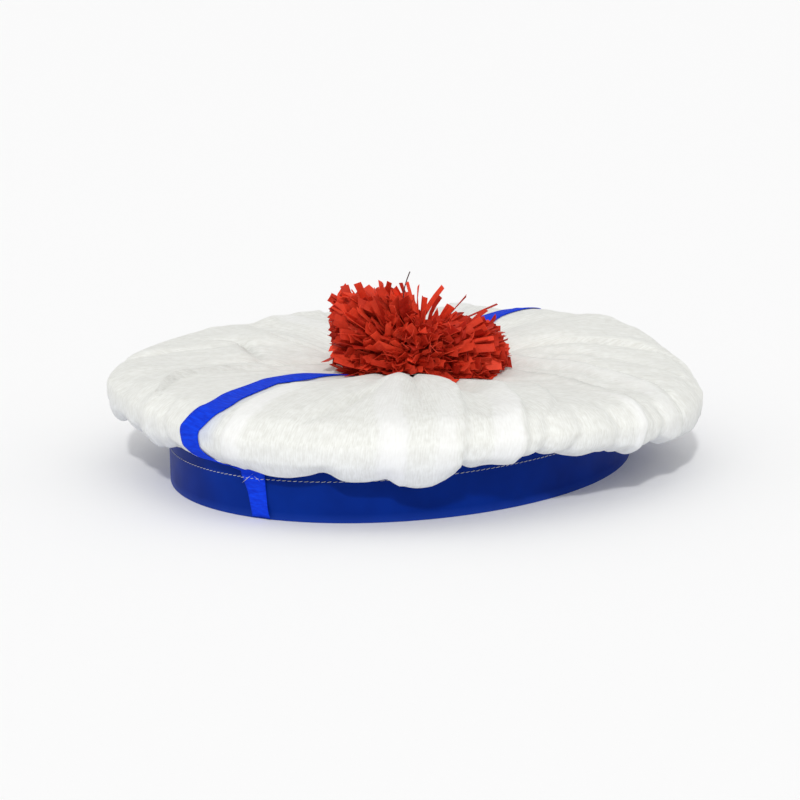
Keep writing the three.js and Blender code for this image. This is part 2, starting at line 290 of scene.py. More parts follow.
@dataclass(frozen=True)
class Finish:
    """What every finish has: a name, and the ends of a piece's colour."""

    name: str
    light: str
    dark: str

    def start(self) -> tuple[bpy.types.Material, bpy.types.NodeTree]:
        """An empty material of the finish's name.

        Returns:
            The material and its node tree.
        """
        material = bpy.data.materials.new(self.name)
        material.use_nodes = True
        material.node_tree.nodes.clear()
        return material, material.node_tree

    def blend(
        self,
        tree: bpy.types.NodeTree,
        factor: bpy.types.NodeSocket,
        first: object,
        second: object,
    ) -> bpy.types.NodeSocket:
        """The colour that share of the way from one colour to another.

        Args:
            tree: The material's node tree.
            factor: The share of the way, from 0 to 1.
            first: The colour at 0, or a socket.
            second: The colour at 1, or a socket.

        Returns:
            The mixed colour's socket.
        """
        node = add_node(
            tree,
            "ShaderNodeMix",
            {MIX_FACTOR: factor, MIX_A: first, MIX_B: second},
            data_type="RGBA",
            clamp_factor=True,
        )
        return node.outputs[MIX_RESULT]

    def ramp(
        self, tree: bpy.types.NodeTree, value: bpy.types.NodeSocket, low: float, high: float
    ) -> bpy.types.NodeSocket:
        """A value stretched so that low gives 0 and high gives 1.

        Args:
            tree: The material's node tree.
            value: The value.
            low: What becomes 0.
            high: What becomes 1.

        Returns:
            The stretched value's socket.
        """
        node = add_node(
            tree, "ShaderNodeMapRange", {"Value": value, "From Min": low, "From Max": high}
        )
        return node.outputs["Result"]

    def streaks(
        self, tree: bpy.types.NodeTree, width: float, length: float, detail: float = 2.0
    ) -> bpy.types.NodeSocket:
        """Noise drawn out along the second way of the UV map.

        Args:
            tree: The material's node tree.
            width: Of a streak, in millimetres.
            length: Of a streak, in millimetres.
            detail: How much finer detail the noise has.

        Returns:
            The noise, from 0 to 1.
        """
        uv = add_node(tree, "ShaderNodeUVMap", {}, uv_map="flat_metres")
        place = add_node(
            tree,
            "ShaderNodeMapping",
            {"Vector": uv.outputs["UV"], "Scale": (1 / (width * MM), 1 / (length * MM), 1.0)},
        )
        noise = add_node(
            tree,
            "ShaderNodeTexNoise",
            {"Vector": place.outputs["Vector"], "Scale": 1.0, "Detail": detail, "Roughness": 0.6},
        )
        return noise.outputs["Fac"]

    def clouds(self, tree: bpy.types.NodeTree, size: float, detail: float = 3.0) -> bpy.types.NodeSocket:
        """Even noise through space.

        Args:
            tree: The material's node tree.
            size: About how far across a patch is, in millimetres.
            detail: How much finer detail the noise has.

        Returns:
            The noise, from 0 to 1.
        """
        place = add_node(tree, "ShaderNodeTexCoord", {})
        noise = add_node(
            tree,
            "ShaderNodeTexNoise",
            {"Vector": place.outputs["Object"], "Scale": 1 / (size * MM), "Detail": detail},
        )
        return noise.outputs["Fac"]

    def see_through(
        self,
        tree: bpy.types.NodeTree,
        surface: bpy.types.Node,
        colour: bpy.types.NodeSocket,
        normal: bpy.types.NodeSocket,
        share: float,
    ) -> None:
        """Ends a thin material: share of the light that falls on it shines through.

        Args:
            tree: The material's node tree.
            surface: The Principled node.
            colour: The colour of the light that shines through.
            normal: The bumped normal.
            share: How much shines through, from 0 to 1.
        """
        glow = add_node(tree, "ShaderNodeBsdfTranslucent", {"Color": colour, "Normal": normal})
        both = add_node(
            tree,
            "ShaderNodeMixShader",
            {0: share, 1: surface.outputs["BSDF"], 2: glow.outputs["BSDF"]},
        )
        add_node(tree, "ShaderNodeOutputMaterial", {"Surface": both.outputs["Shader"]})


@dataclass(frozen=True)
class CoatedCard(Finish):
    """Solid-dyed greyboard with a calendered polyethylene coat.

    The coat gives a satin sheen with a faint orange peel, and rubs paler along the edges.
    """

    peel: float = 5.0
    roughness: float = 0.38

    def material(self) -> bpy.types.Material:
        """Builds the material.

        Returns:
            The material.
        """
        material, tree = self.start()
        cloud = self.clouds(tree, 24.0)
        patches = self.ramp(tree, cloud, 0.35, 0.65)
        colour = self.blend(tree, patches, linear(self.dark), linear(self.light))
        worn = add_node(tree, "ShaderNodeAttribute", {}, attribute_name="edge")
        rubbed = self.blend(tree, worn.outputs["Fac"], colour, linear("#2444a4"))
        rough = add_node(
            tree,
            "ShaderNodeMapRange",
            {
                "Value": self.clouds(tree, 9.0),
                "To Min": self.roughness - 0.05,
                "To Max": self.roughness + 0.07,
            },
        )
        bump = add_node(
            tree,
            "ShaderNodeBump",
            {"Height": self.clouds(tree, self.peel, 1.0), "Strength": 0.35, "Distance": 0.06 * MM},
        )
        surface = add_node(
            tree,
            "ShaderNodeBsdfPrincipled",
            {
                "Base Color": rubbed,
                "Roughness": rough.outputs["Result"],
                "IOR": 1.5,
                "Specular IOR Level": 0.03,
                "Normal": bump.outputs["Normal"],
            },
        )
        add_node(tree, "ShaderNodeOutputMaterial", {"Surface": surface.outputs["BSDF"]})
        return material


@dataclass(frozen=True)
class NonwovenCloth(Finish):
    """Spunbonded polypropylene or viscose fleece, thin, bonded flat and unwoven.

    It is matt, lets light through, and shows short fibres lying mostly one way. Where it is
    folded into three layers it lets less light through and looks whiter.
    """

    fibre_width: float = 0.5
    fibre_length: float = 6.0

    def material(self) -> bpy.types.Material:
        """Builds the material. The fibres are drawn about five times too coarse, so as to show.

        Returns:
            The material.
        """
        material, tree = self.start()
        fibres = self.streaks(tree, self.fibre_width, self.fibre_length)
        clouds = self.clouds(tree, 2.5)
        spread = add_node(
            tree, "ShaderNodeMath", {0: clouds, 1: 0.5, 2: fibres}, operation="MULTIPLY_ADD"
        )
        thin = self.ramp(tree, spread.outputs[0], 0.56, 0.96)
        cloth = self.blend(tree, thin, linear(self.dark), linear(self.light))
        layers = add_node(tree, "ShaderNodeAttribute", {}, attribute_name="layers")
        folded = add_node(
            tree, "ShaderNodeMath", {0: layers.outputs["Fac"], 1: 0.55}, operation="MULTIPLY"
        )
        whiter = self.blend(tree, folded.outputs[0], cloth, linear("#ffffff"))
        # Painted blue reflected light from the ribbon and the band, mixed into the cloth colour.
        painted_blue_light_share = add_node(tree, "ShaderNodeAttribute", {}, attribute_name="painted_blue_light_share")
        colour = self.blend(tree, painted_blue_light_share.outputs["Fac"], whiter, linear("#8fa6ee"))
        bump = add_node(
            tree,
            "ShaderNodeBump",
            {"Height": spread.outputs[0], "Strength": 0.6, "Distance": 0.12 * MM},
        )
        surface = add_node(
            tree,
            "ShaderNodeBsdfPrincipled",
            {
                "Base Color": colour,
                "Roughness": 0.85,
                "IOR": 1.45,
                "Sheen Weight": 0.15,
                "Sheen Roughness": 0.5,
                "Normal": bump.outputs["Normal"],
            },
        )
        self.see_through(tree, surface, colour, bump.outputs["Normal"], 0.18)
        return material


@dataclass(frozen=True)
class CrepePaper(Finish):
    """Dyed crepe paper: matt, with fine crinkles pressed across the strip."""

    crinkle: float = 1.1

    def material(self) -> bpy.types.Material:
        """Builds the material.

        Returns:
            The material.
        """
        material, tree = self.start()
        crinkles = self.streaks(tree, 6.0, self.crinkle, 3.0)
        # The colour is darker where the crinkle bump is low, as painted shade in its hollows.
        painted_crinkle_shade = self.ramp(tree, crinkles, 0.3, 0.7)
        colour = self.blend(tree, painted_crinkle_shade, linear(self.dark), linear(self.light))
        bump = add_node(
            tree, "ShaderNodeBump", {"Height": crinkles, "Strength": 0.8, "Distance": 0.25 * MM}
        )
        surface = add_node(
            tree,
            "ShaderNodeBsdfPrincipled",
            {
                "Base Color": colour,
                "Roughness": 0.85,
                "IOR": 1.45,
                "Specular IOR Level": 0.2,
                "Normal": bump.outputs["Normal"],
            },
        )
        self.see_through(tree, surface, colour, bump.outputs["Normal"], 0.15)
        return material


@dataclass(frozen=True)
class TissuePaper(Finish):
    """Dyed tissue paper cut in strips: thin, crumpled and glowing where light comes through."""

    crumple: float = 3.0

    def material(self) -> bpy.types.Material:
        """Builds the material. Each strip's own shade is in the attribute shade. The core's lower value
        there is painted shade, and the colour is darker in the crumples' hollows, as painted shade.

        Returns:
            The material.
        """
        material, tree = self.start()
        shade = add_node(tree, "ShaderNodeAttribute", {}, attribute_name="shade")
        crumple = self.clouds(tree, self.crumple)
        # Darker where the crumple bump is low, as painted shade in its hollows, plus each strip's own
        # random tone.
        uneven = add_node(
            tree,
            "ShaderNodeMath",
            {0: crumple, 1: 0.5, 2: shade.outputs["Fac"]},
            operation="MULTIPLY_ADD",
        )
        colour = self.blend(
            tree, self.ramp(tree, uneven.outputs[0], 0.15, 1.25), linear(self.dark), linear(self.light)
        )
        bump = add_node(
            tree, "ShaderNodeBump", {"Height": crumple, "Strength": 0.7, "Distance": 0.5 * MM}
        )
        surface = add_node(
            tree,
            "ShaderNodeBsdfPrincipled",
            {
                "Base Color": colour,
                "Roughness": 0.6,
                "IOR": 1.45,
                "Specular IOR Level": 0.3,
                "Normal": bump.outputs["Normal"],
            },
        )
        self.see_through(tree, surface, colour, bump.outputs["Normal"], 0.25)
        return material


@dataclass(frozen=True)
class SewingThread(Finish):
    """Spun polyester thread, twisted: matt with a faint spiral."""

    def material(self) -> bpy.types.Material:
        """Builds the material.

        Returns:
            The material.
        """
        material, tree = self.start()
        twist = self.clouds(tree, 0.5)
        # The colour is darker where the twist bump is low, as painted shade in its hollows.
        colour = self.blend(tree, twist, linear(self.dark), linear(self.light))
        bump = add_node(tree, "ShaderNodeBump", {"Height": twist, "Strength": 0.6, "Distance": 0.1 * MM})
        surface = add_node(
            tree,
            "ShaderNodeBsdfPrincipled",
            {"Base Color": colour, "Roughness": 0.8, "Normal": bump.outputs["Normal"]},
        )
        add_node(tree, "ShaderNodeOutputMaterial", {"Surface": surface.outputs["BSDF"]})
        return material


CARD = CoatedCard("polythene_coated_card", light="#072c88", dark="#062476")
CLOTH = NonwovenCloth("spunbonded_nonwoven", light="#f9faf6", dark="#e9e9e3")
CREPE = CrepePaper("crepe_paper_blue", light="#0a48f2", dark="#0531cc")
TISSUE = TissuePaper("tissue_paper_red", light="#fb5233", dark="#b01808")
THREAD = SewingThread("polyester_thread_white", light="#d3d3d4", dark="#94969c")
DARK_THREAD = SewingThread("polyester_thread_dark", light="#5a3634", dark="#2c1a1c")


# ------------------------------------------------------------------ the band


@dataclass
class Band:
    """The oval headband of coated card, its ends lapped at the back."""

    centre: Array
    half_length: float = 103.0
    half_width: float = 84.0
    height: float = 25.0
    card: float = 0.8
    edge_round: float = 0.25
    lap_azimuth: float = 128.0
    lap_span: float = 9.0
    columns: int = 480

    def radius(self, azimuth: Array | float) -> Array | float:
        """Distance from the middle to the outside of the oval.

        It is the product of the two half sizes, a and b, over the root of the sum of the squares
        of a times the azimuth's cosine and b times its sine.

        Args:
            azimuth: In degrees.

        Returns:
            Distances.
        """
        angle = np.radians(azimuth)
        across = self.half_length * np.cos(angle)
        along = self.half_width * np.sin(angle)
        return self.half_length * self.half_width / np.hypot(across, along)

    def lap(self, azimuth: Array) -> Array:
        """How much further out the card's outer face is where its outer end laps the inner one."""
        past = turn(self.lap_azimuth, azimuth)
        return self.card * ease(past, -0.8, 0.0) * (1 - ease(past, self.lap_span, self.lap_span + 6))

    def outside(self, azimuth: Array, height: Array, proud: Array | float) -> Array:
        """Points at a height, standing proud of the oval of the card's outer face."""
        return around(azimuth, self.radius(azimuth) + proud, height) + self.centre

    def section(self) -> tuple[Array, Array, Array]:
        """The card's cross-section as a closed loop: a thin upright slip with rounded edges.

        Returns:
            Offsets out from the outer face, heights, and how worn each point is.
        """
        soft, turns = self.edge_round, np.radians([0.0, 45.0, 90.0])
        levels = np.linspace(soft, self.height - soft, 9)
        out = [*np.zeros(9), *(-soft + soft * np.cos(turns[1:]))]
        up = [*levels, *(self.height - soft + soft * np.sin(turns[1:]))]
        back = [*(-self.card + soft - soft * np.sin(turns)), *np.full(7, -self.card)]
        down = [*(self.height - soft + soft * np.cos(turns)), *levels[-2:0:-1]]
        foot = [*(-self.card + soft - soft * np.cos(turns)), *(-soft + soft * np.sin(turns[:2]))]
        low = [*(soft - soft * np.sin(turns)), *(soft - soft * np.cos(turns[:2]))]
        offsets, heights = np.array([*out, *back, *foot]), np.array([*up, *down, *low])
        worn = 0.5 * (heights < 0.6) + 0.35 * (heights > self.height - 0.6)
        return offsets, heights, worn

    def build(self) -> bpy.types.Object:
        """Carries the section round the oval, with the lap as a second layer that ends in a step.

        Returns:
            The piece.
        """
        offsets, heights, worn = self.section()
        azimuth = np.arange(self.columns) * 360.0 / self.columns
        lap = self.lap(azimuth)
        outer = (offsets > -self.card / 2).astype(float)
        proud = offsets[None, :] + lap[:, None] * outer[None, :]
        wave = 0.12 * ring_noise(azimuth, 0.0 * azimuth, 14, 1, 5)
        points = self.outside(azimuth[:, None], heights[None, :], proud + wave[:, None])
        rows, columns = points.shape[:2]
        closed = grid_faces(rows + 1, columns, True) % (rows * columns)
        piece = make_mesh("headband", points.reshape(-1, 3), [closed])
        add_values(piece, "edge", np.broadcast_to(worn, (rows, columns)))
        piece.data.materials.append(CARD.material())
        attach(piece, "root")
        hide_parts("band")
        return piece


# ------------------------------------------------------------------ the crown


class Kind(Enum):
    """How the cloth is shaped across a fold."""

    VALLEY = "a soft hollow"
    PUFF = "a soft rise"
    CREASE = "a sharp hollow line"
    RIDGE = "a sharp raised line"
    LAP = "a layer that ends in a step on its anticlockwise side"
    LAP_BACK = "a layer that ends in a step on its clockwise side"
    BAND = "a flat pleat, three layers thick"


@dataclass(frozen=True)
class Section:
    """The crown's outline at one azimuth: how far out its rim is, and three heights."""

    rim: float
    rim_height: float
    top: float
    hang: float


@dataclass(frozen=True)
class Fold:
    """One fold of the crown, from under the roll to the gather.

    width is across the fold in millimetres. at has its azimuths under the roll, at the rim, half
    way in and at the neck. height has how strong it is, in millimetres, under the roll, at the
    rim, at each quarter of the way in, and at the neck. white is how white a BAND is.
    """

    kind: Kind
    width: float
    at: tuple[float, float, float, float]
    height: tuple[float, float, float, float, float, float]
    white: float = 0.0


# A row for each 30 degrees, from azimuth 0.
SECTIONS = (
    Section(rim=113.0, rim_height=24.0, top=36.0, hang=19.5),
    Section(rim=111.0, rim_height=24.0, top=37.0, hang=18.5),
    Section(rim=110.0, rim_height=31.0, top=43.0, hang=23.0),
    Section(rim=112.0, rim_height=34.0, top=44.5, hang=25.0),
    Section(rim=112.0, rim_height=34.0, top=43.5, hang=25.5),
    Section(rim=116.0, rim_height=34.0, top=42.0, hang=25.5),
    Section(rim=118.0, rim_height=34.0, top=41.0, hang=25.0),
    Section(rim=118.0, rim_height=32.0, top=39.5, hang=22.0),
    Section(rim=111.0, rim_height=29.0, top=39.5, hang=21.5),
    Section(rim=115.0, rim_height=27.0, top=39.5, hang=19.5),
    Section(rim=117.0, rim_height=28.0, top=39.5, hang=20.0),
    Section(rim=115.0, rim_height=28.0, top=39.0, hang=23.5),
)

FOLDS = (
    # The left side: a slit, a hooked crease, a ridge with its shadow, and a faint line.
    Fold(Kind.CREASE, 1.8, (171, 168, 171.5, 182), (0, 0, 0.8, 7.0, 5.0, 0)),
    Fold(Kind.LAP_BACK, 10, (171, 168, 171.5, 182), (0, 0, 1.0, 3.6, 2.0, 0)),
    Fold(Kind.CREASE, 1.9, (227, 227.5, 187.7, 309), (0, 0, 0, 6.5, 0, 0)),
    Fold(Kind.LAP_BACK, 10, (227, 227.5, 187.7, 309), (0, 0, 0, 3.0, 0, 0)),
    Fold(Kind.CREASE, 1.8, (200, 200, 212, 185), (0, 0, 0, 2.0, 7.0, 0.8)),
    Fold(Kind.LAP_BACK, 10, (200, 200, 212, 185), (0, 0, 0, 1.2, 3.4, 0.8)),
    Fold(Kind.CREASE, 1.8, (200, 199.5, 188, 160), (0, 1.4, 2.6, 1.4, 0, 0)),
    Fold(Kind.LAP, 9, (243, 241, 220, 207), (0.3, 1.6, 2.8, 2.0, 0, 0)),
    Fold(Kind.CREASE, 2.0, (252, 246, 236, 228), (1.2, 1.2, 0, 0, 0, 0)),
    Fold(Kind.VALLEY, 9, (226, 224, 216, 226), (0, 0.4, 0.8, 1.4, 3.0, 3.0)),
    # The front, from the ribbon to the right.
    Fold(Kind.VALLEY, 7, (257, 257, 254, 240), (0.6, 0.8, 0.8, 0.8, 1.0, 2.0)),
    Fold(Kind.BAND, 3.8, (268, 267, 263, 254), (0.3, 0.9, 1.0, 0.8, 0.2, 0), white=1.0),
    Fold(Kind.LAP_BACK, 7, (264, 263.5, 260, 252), (0.2, 0.8, 1.2, 0.8, 0, 0)),
    Fold(Kind.CREASE, 1.7, (279, 279, 286, 294), (0, 0, 2.4, 4.2, 0.6, 0)),
    Fold(Kind.PUFF, 11, (276, 276, 278, 274), (0, 0, 0.4, 0.8, 2.2, 2.0)),
    Fold(Kind.VALLEY, 5, (286, 286, 284, 278), (0, 0, 0, 0.8, 2.4, 3.5)),
    Fold(Kind.BAND, 4.6, (298, 298, 294, 290), (0.5, 0.8, 0.6, 0.4, 0.3, 0), white=1.0),
    Fold(Kind.PUFF, 9, (296, 296, 294, 292), (0, 0, 0.4, 1.0, 3.0, 2.0)),
    Fold(Kind.CREASE, 1.4, (303, 303, 303, 300), (0, 0, 0.3, 1.6, 2.4, 0.4)),
    Fold(Kind.PUFF, 7, (303, 303, 303, 307), (0, 0, 0, 0.2, 1.4, 1.6)),
    Fold(Kind.LAP, 8, (309, 310, 314, 325), (2.2, 2.2, 2.4, 2.4, 1.8, 0.8)),
    Fold(Kind.BAND, 3.0, (306.5, 307, 311, 322), (0.2, 0.4, 0.3, 0.2, 0, 0), white=0.6),
    Fold(Kind.PUFF, 9, (304, 304, 309, 321), (0, 0, 0.6, 1.2, 1.8, 0.4)),
    Fold(Kind.VALLEY, 6, (312, 312, 321, 332), (0, 0, 0.4, 1.6, 5.0, 5.0)),
    Fold(Kind.LAP, 8, (320, 321, 328.5, 345), (2.0, 2.2, 2.4, 2.2, 1.4, 0.6)),
    Fold(Kind.BAND, 4.6, (317, 318, 325, 340), (0.2, 0.6, 0.5, 0.2, 0, 0), white=0.9),
    Fold(Kind.PUFF, 8, (318, 318, 325, 343), (0, 0, 0.4, 0.6, 0.2, 0)),
    Fold(Kind.LAP, 7, (324, 324, 342, 375), (0.2, 0.6, 1.4, 2.2, 2.4, 1.0)),
    Fold(Kind.VALLEY, 3.5, (326, 326, 344, 372), (0, 0, 0.6, 1.4, 2.8, 3.0)),
    Fold(Kind.CREASE, 2.0, (324, 326, 330, 340), (2.6, 1.4, 0, 0, 0, 0)),
    Fold(Kind.CREASE, 2.0, (327, 333, 336, 340), (2.6, 1.2, 0, 0, 0, 0)),
    # The right side, whose folds sweep round to the gather.
    Fold(Kind.RIDGE, 1.8, (347, 347.5, 353, 366), (0.8, 2.0, 1.0, 0, 0, 0)),
    Fold(Kind.BAND, 2.0, (347, 347.5, 353, 366), (0.2, 0.5, 0.2, 0, 0, 0), white=1.0),
    Fold(Kind.RIDGE, 1.8, (350, 350, 362, 403), (0, 0.8, 2.0, 2.4, 2.2, 0)),
    Fold(Kind.CREASE, 2.0, (352, 352, 364, 405), (0, 0.8, 1.8, 2.6, 2.6, 0)),
    Fold(Kind.CREASE, 1.8, (364, 364, 384, 432), (0.2, 1.8, 3.0, 3.4, 2.4, 0)),
    Fold(Kind.LAP, 8, (363, 363, 382.5, 430), (0.2, 1.0, 2.0, 2.2, 1.6, 0)),
    Fold(Kind.BAND, 4.0, (359, 359, 378, 425), (0.2, 0.5, 0.6, 0.5, 0.2, 0), white=0.5),
    Fold(Kind.CREASE, 1.6, (358, 358, 373, 416), (0, 0.3, 0.8, 1.4, 1.4, 0)),
    Fold(Kind.CREASE, 2.0, (394, 394, 409.5, 418), (0, 0.6, 1.6, 2.4, 2.0, 0)),
    Fold(Kind.LAP_BACK, 8, (395, 395, 410.5, 419), (0, 0.6, 1.4, 1.8, 1.6, 0)),
    Fold(Kind.CREASE, 1.6, (378, 378, 397, 425), (0, 0.4, 1.2, 1.4, 0.8, 0)),
    Fold(Kind.CREASE, 2.2, (341, 342, 348, 380), (2.6, 1.6, 0.3, 0, 0, 0)),
    Fold(Kind.CREASE, 2.2, (354, 356, 362, 380), (2.4, 1.4, 0, 0, 0, 0)),
    # The back.
    Fold(Kind.VALLEY, 70, (150, 150, 150, 150), (0, 0.6, 1.6, 1.4, 1.0, 0)),
    Fold(Kind.PUFF, 12, (74, 74, 70, 80), (0, 0.6, 1.6, 1.8, 1.6, 0)),
    Fold(Kind.VALLEY, 7, (80, 80, 80, 98), (0.6, 1.0, 1.8, 2.6, 3.4, 3.0)),
    Fold(Kind.VALLEY, 7, (98, 98, 99, 106), (0.6, 1.0, 1.6, 2.4, 3.2, 3.0)),
    Fold(Kind.LAP, 8, (112, 112, 111, 114), (1.0, 1.4, 1.8, 1.8, 1.2, 0.5)),
    Fold(Kind.BAND, 3.4, (109, 109, 108, 111), (0.2, 0.5, 0.6, 0.5, 0.2, 0), white=0.6),
    Fold(Kind.VALLEY, 6, (122, 122, 124, 128), (0.6, 1.2, 1.8, 2.4, 3.4, 3.5)),
    Fold(Kind.BAND, 4.2, (134, 134, 136, 140), (0.3, 0.6, 0.6, 0.5, 0.3, 0.2), white=0.9),
    Fold(Kind.LAP_BACK, 9, (142, 142, 144, 146), (1.2, 1.4, 1.6, 1.8, 1.2, 0.5)),
    Fold(Kind.VALLEY, 6, (141, 141, 143, 146), (0.4, 0.6, 1.0, 1.8, 3.0, 3.5)),
    Fold(Kind.VALLEY, 7, (160, 160, 162, 168), (0.6, 1.0, 2.0, 3.0, 3.4, 3.0)),
    Fold(Kind.BAND, 3.6, (152, 152, 152, 156), (0.2, 0.5, 0.5, 0.3, 0, 0), white=0.7),
    Fold(Kind.PUFF, 9, (168, 168, 169, 174), (0, 0, 0.8, 1.4, 1.8, 0)),
)


@dataclass(frozen=True)
class Lobe:
    """A lobe of the crown's lower edge, or with a negative drop a notch between lobes."""

    azimuth: float
    width: float
    drop: float


LOBES = (
    Lobe(278, 8, 2.0),
    Lobe(286, 2.4, -1.8),
    Lobe(290, 3.0, 0.8),
    Lobe(294, 3.0, 1.4),
    Lobe(297.5, 1.8, -1.6),
    Lobe(303, 5.0, 3.4),
    Lobe(310.5, 1.8, -2.2),
    Lobe(315.5, 4.5, -1.6),
    Lobe(324, 3.0, -0.8),
    Lobe(339, 8.0, 2.0),
    Lobe(8, 7, 2.5),
    Lobe(44, 8, 2.0),
    Lobe(70, 4, -1.5),
    Lobe(98, 9, 2.0),
    Lobe(124, 4, -1.5),
    Lobe(152, 8, 2.0),
    Lobe(172, 4, -1.2),
    Lobe(196, 8, 1.5),
    Lobe(226, 4, -1.2),
    Lobe(244, 8, 1.4),
    Lobe(263, 5, 0.8),
)

# Places along the crown's outline, from 0 at the seam to 1 at the gather.
SPANS = 14
UNDER, RIM, SHOULDER, NECK = (n / SPANS for n in (4, 7, 9, 13))


@dataclass
class Crown:
    """The cloth crown: sewn inside the band, over its edge, round the rim and in to the gather."""

    band: Band
    cloth: float = 0.3
    seam_height: float = 12.0
    gather: tuple[float, float, float] = (3.4, 2.1, 32.5)
    neck_radius: float = 13.0
    panel: float = 0.9
    wrinkle: float = 0.45
    crumple: float = 0.3
    gathers: float = 1.3
    seam_gathers: float = 1.4
    lip_height: float = 3.2
    columns: int = 480
    rows: int = 102

    def section(self, key: str, azimuth: Array) -> Array:
        """A value of the section table at any azimuth, as a cubic through the four nearest rows.

        Args:
            key: The name of the section's value.
            azimuth: In degrees.

        Returns:
            The value at each azimuth.
        """
        values = np.array([getattr(row, key) for row in SECTIONS])
        count = len(values)
        place = (azimuth % 360.0) / 360.0 * count
        row = np.floor(place).astype(int)
        part = place - row
        a, b, c, d = (values[(row + i) % count] for i in (-1, 0, 1, 2))
        bend, twist = 2 * a - 5 * b + 4 * c - d, 3 * (b - c) + d - a
        return b + 0.5 * part * (c - a + part * (bend + part * twist))

    def outline(self, azimuth: Array) -> tuple[Array, Array]:
        """The named points of the outline, from the seam to the gather, at each azimuth.

        Args:
            azimuth: In degrees, any shape.

        Returns:
            Distances out and heights, each with the points along a new first axis.
        """
        card, card_top, one = self.band.radius(azimuth), self.band.height, np.ones_like(azimuth)
        inside = card - self.band.card - 0.3
        rim, rim_height, top = (self.section(k, azimuth) for k in ("rim", "rim_height", "top"))
        bells = (np.exp(-((turn(row.azimuth, azimuth) / row.width) ** 2)) for row in LOBES)
        drop = sum(row.drop * bell for row, bell in zip(LOBES, bells))
        hang = self.section("hang", azimuth) - drop
        roll, low = np.maximum(card + 5, rim - 6), self.gather[2]
        radii = (
            inside, inside, inside - 0.3, card + 0.2, mix(card, roll, 0.6), roll, rim - 1,
            rim - 0.4, rim - 7, rim - 18, 0.62 * rim, 0.4 * rim,
            2 * self.neck_radius * one, self.neck_radius * one, 0 * one,
        )
        heights = (
            self.seam_height * one, mix(self.seam_height, card_top, 0.5) * one, (card_top - 0.5) * one,
            (card_top + 2.2) * one, mix(card_top + 1, hang, 0.7), hang, mix(hang, rim_height, 0.6),
            mix(rim_height, top, 0.35), mix(rim_height, top, 0.85), top, top + 1, mix(top, low, 0.15),
            mix(top, low, 0.4), mix(top, low, 0.9), low * one,
        )
        return np.stack(radii), np.stack(heights)

    def smooth_point(self, azimuth: Array, place: Array) -> Array:
        """A point of the crown without its folds: a cubic through the outline's named points.

        Args:
            azimuth: In degrees.
            place: From 0 at the seam to 1 at the gather.

        Returns:
            Points as (..., 3).
        """
        azimuth, place = np.broadcast_arrays(np.asarray(azimuth, float), np.asarray(place, float))
        at = np.clip(place, 0.0, 1.0) * SPANS
        row = np.minimum(np.floor(at).astype(int), SPANS - 1)
        t = at - row
        found = []
        for named in self.outline(azimuth):
            picks = (np.clip(row + i, 0, SPANS)[None] for i in (-1, 0, 1, 2))
            a, b, c, d = (np.take_along_axis(named, pick, 0)[0] for pick in picks)
            rise = b * (1 + 2 * t) * (1 - t) ** 2 + c * t**2 * (3 - 2 * t)
            found.append(rise + (c - a) / 3 * t * (1 - t) ** 2 + (d - b) / 3 * t**2 * (t - 1))
        radius, height = found
        shift = ease(place, 3 / SPANS, SHOULDER)[..., None] * np.array([*self.gather[:2], 0.0])
        return around(azimuth, radius, height) + shift + self.band.centre

    def normal(self, azimuth: Array, place: Array) -> Array:
        """The outward direction: the slope round the crown crossed with the slope inward.

        Args:
            azimuth: In degrees.
            place: From 0 at the seam to 1 at the gather.

        Returns:
            Unit vectors as (..., 3).
        """
        step = 0.006
        near = np.minimum(place, 1 - 2 * step)
        round_way = self.smooth_point(azimuth + 0.5, near) - self.smooth_point(azimuth - 0.5, near)
        inward = self.smooth_point(azimuth, near + step) - self.smooth_point(azimuth, near - step)
        return unit(np.cross(round_way, inward))

    def way(self, place: Array) -> Array:
        """How far along the folds a place is: -1 under the roll, 0 at the rim, 1 at the neck."""
        return ease(place, RIM, NECK) - (1 - np.clip((place - UNDER) / (RIM - UNDER), 0.0, 1.0))

    def across(self, fold: Fold, azimuth: Array, way: Array, radius: Array) -> Array:
        """The distance from a fold's line, in millimetres, positive anticlockwise.

        The line's azimuth is a parabola through its places at the rim, half way in and at the
        neck, and a straight run from the rim to its place under the roll.

        Args:
            fold: The fold.
            azimuth: In degrees.
            way: How far along the folds, from -1 to 1.
            radius: The distance from the gather, which turns degrees into millimetres.

        Returns:
            Distances, in millimetres.
        """
        under, rim, middle, neck = fold.at
        inner = np.clip(way, 0.0, 1.0)
        line = rim + (4 * middle - 3 * rim - neck) * inner + 2 * (rim + neck - 2 * middle) * inner**2
        line = line + (rim - under) * np.clip(way, -1.0, 0.0)
        return np.radians(turn(line, azimuth)) * radius

    def strength(self, fold: Fold, way: Array) -> Array:
        """How strong a fold is along its line, eased through its heights.

        Args:
            fold: The fold.
            way: How far along the folds, from -1 to 1.

        Returns:
            Strengths, in millimetres.
        """
        under, *inner = fold.height
        outer = mix(inner[0], under, np.clip(-way, 0.0, 1.0))
        return np.where(way < 0, outer, along_table(np.array(inner), way))

    def shape(self, kind: Kind, across: Array, width: Array) -> Array:
        """The height of the cloth across a fold of strength 1, by kind.

        VALLEY and PUFF are bells, CREASE and RIDGE fall off evenly from a line whose point is
        rounded to half a millimetre, LAP and LAP_BACK rise to the line and then drop within 1.6
        millimetres, and BAND is flat with short sloped sides.

        Args:
            kind: How the cloth is shaped.
            across: The distance from the fold's line, in millimetres.
            width: How wide the fold is, in millimetres.

        Returns:
            Heights, from -1 to 1.
        """
        if kind in (Kind.VALLEY, Kind.PUFF):
            bell = np.exp(-((across / width) ** 2))
            return bell if kind is Kind.PUFF else -bell
        if kind in (Kind.CREASE, Kind.RIDGE):
            line = np.exp(0.5 / width - np.hypot(across, 0.5) / width)
            return line if kind is Kind.RIDGE else -line
        if kind is Kind.BAND:
            return ease(width - np.abs(across), -0.8, 0.8)
        side = -across if kind is Kind.LAP_BACK else across
        return np.exp(np.minimum(side, 0.0) / width) * (1 - ease(side, 0.0, 1.6))

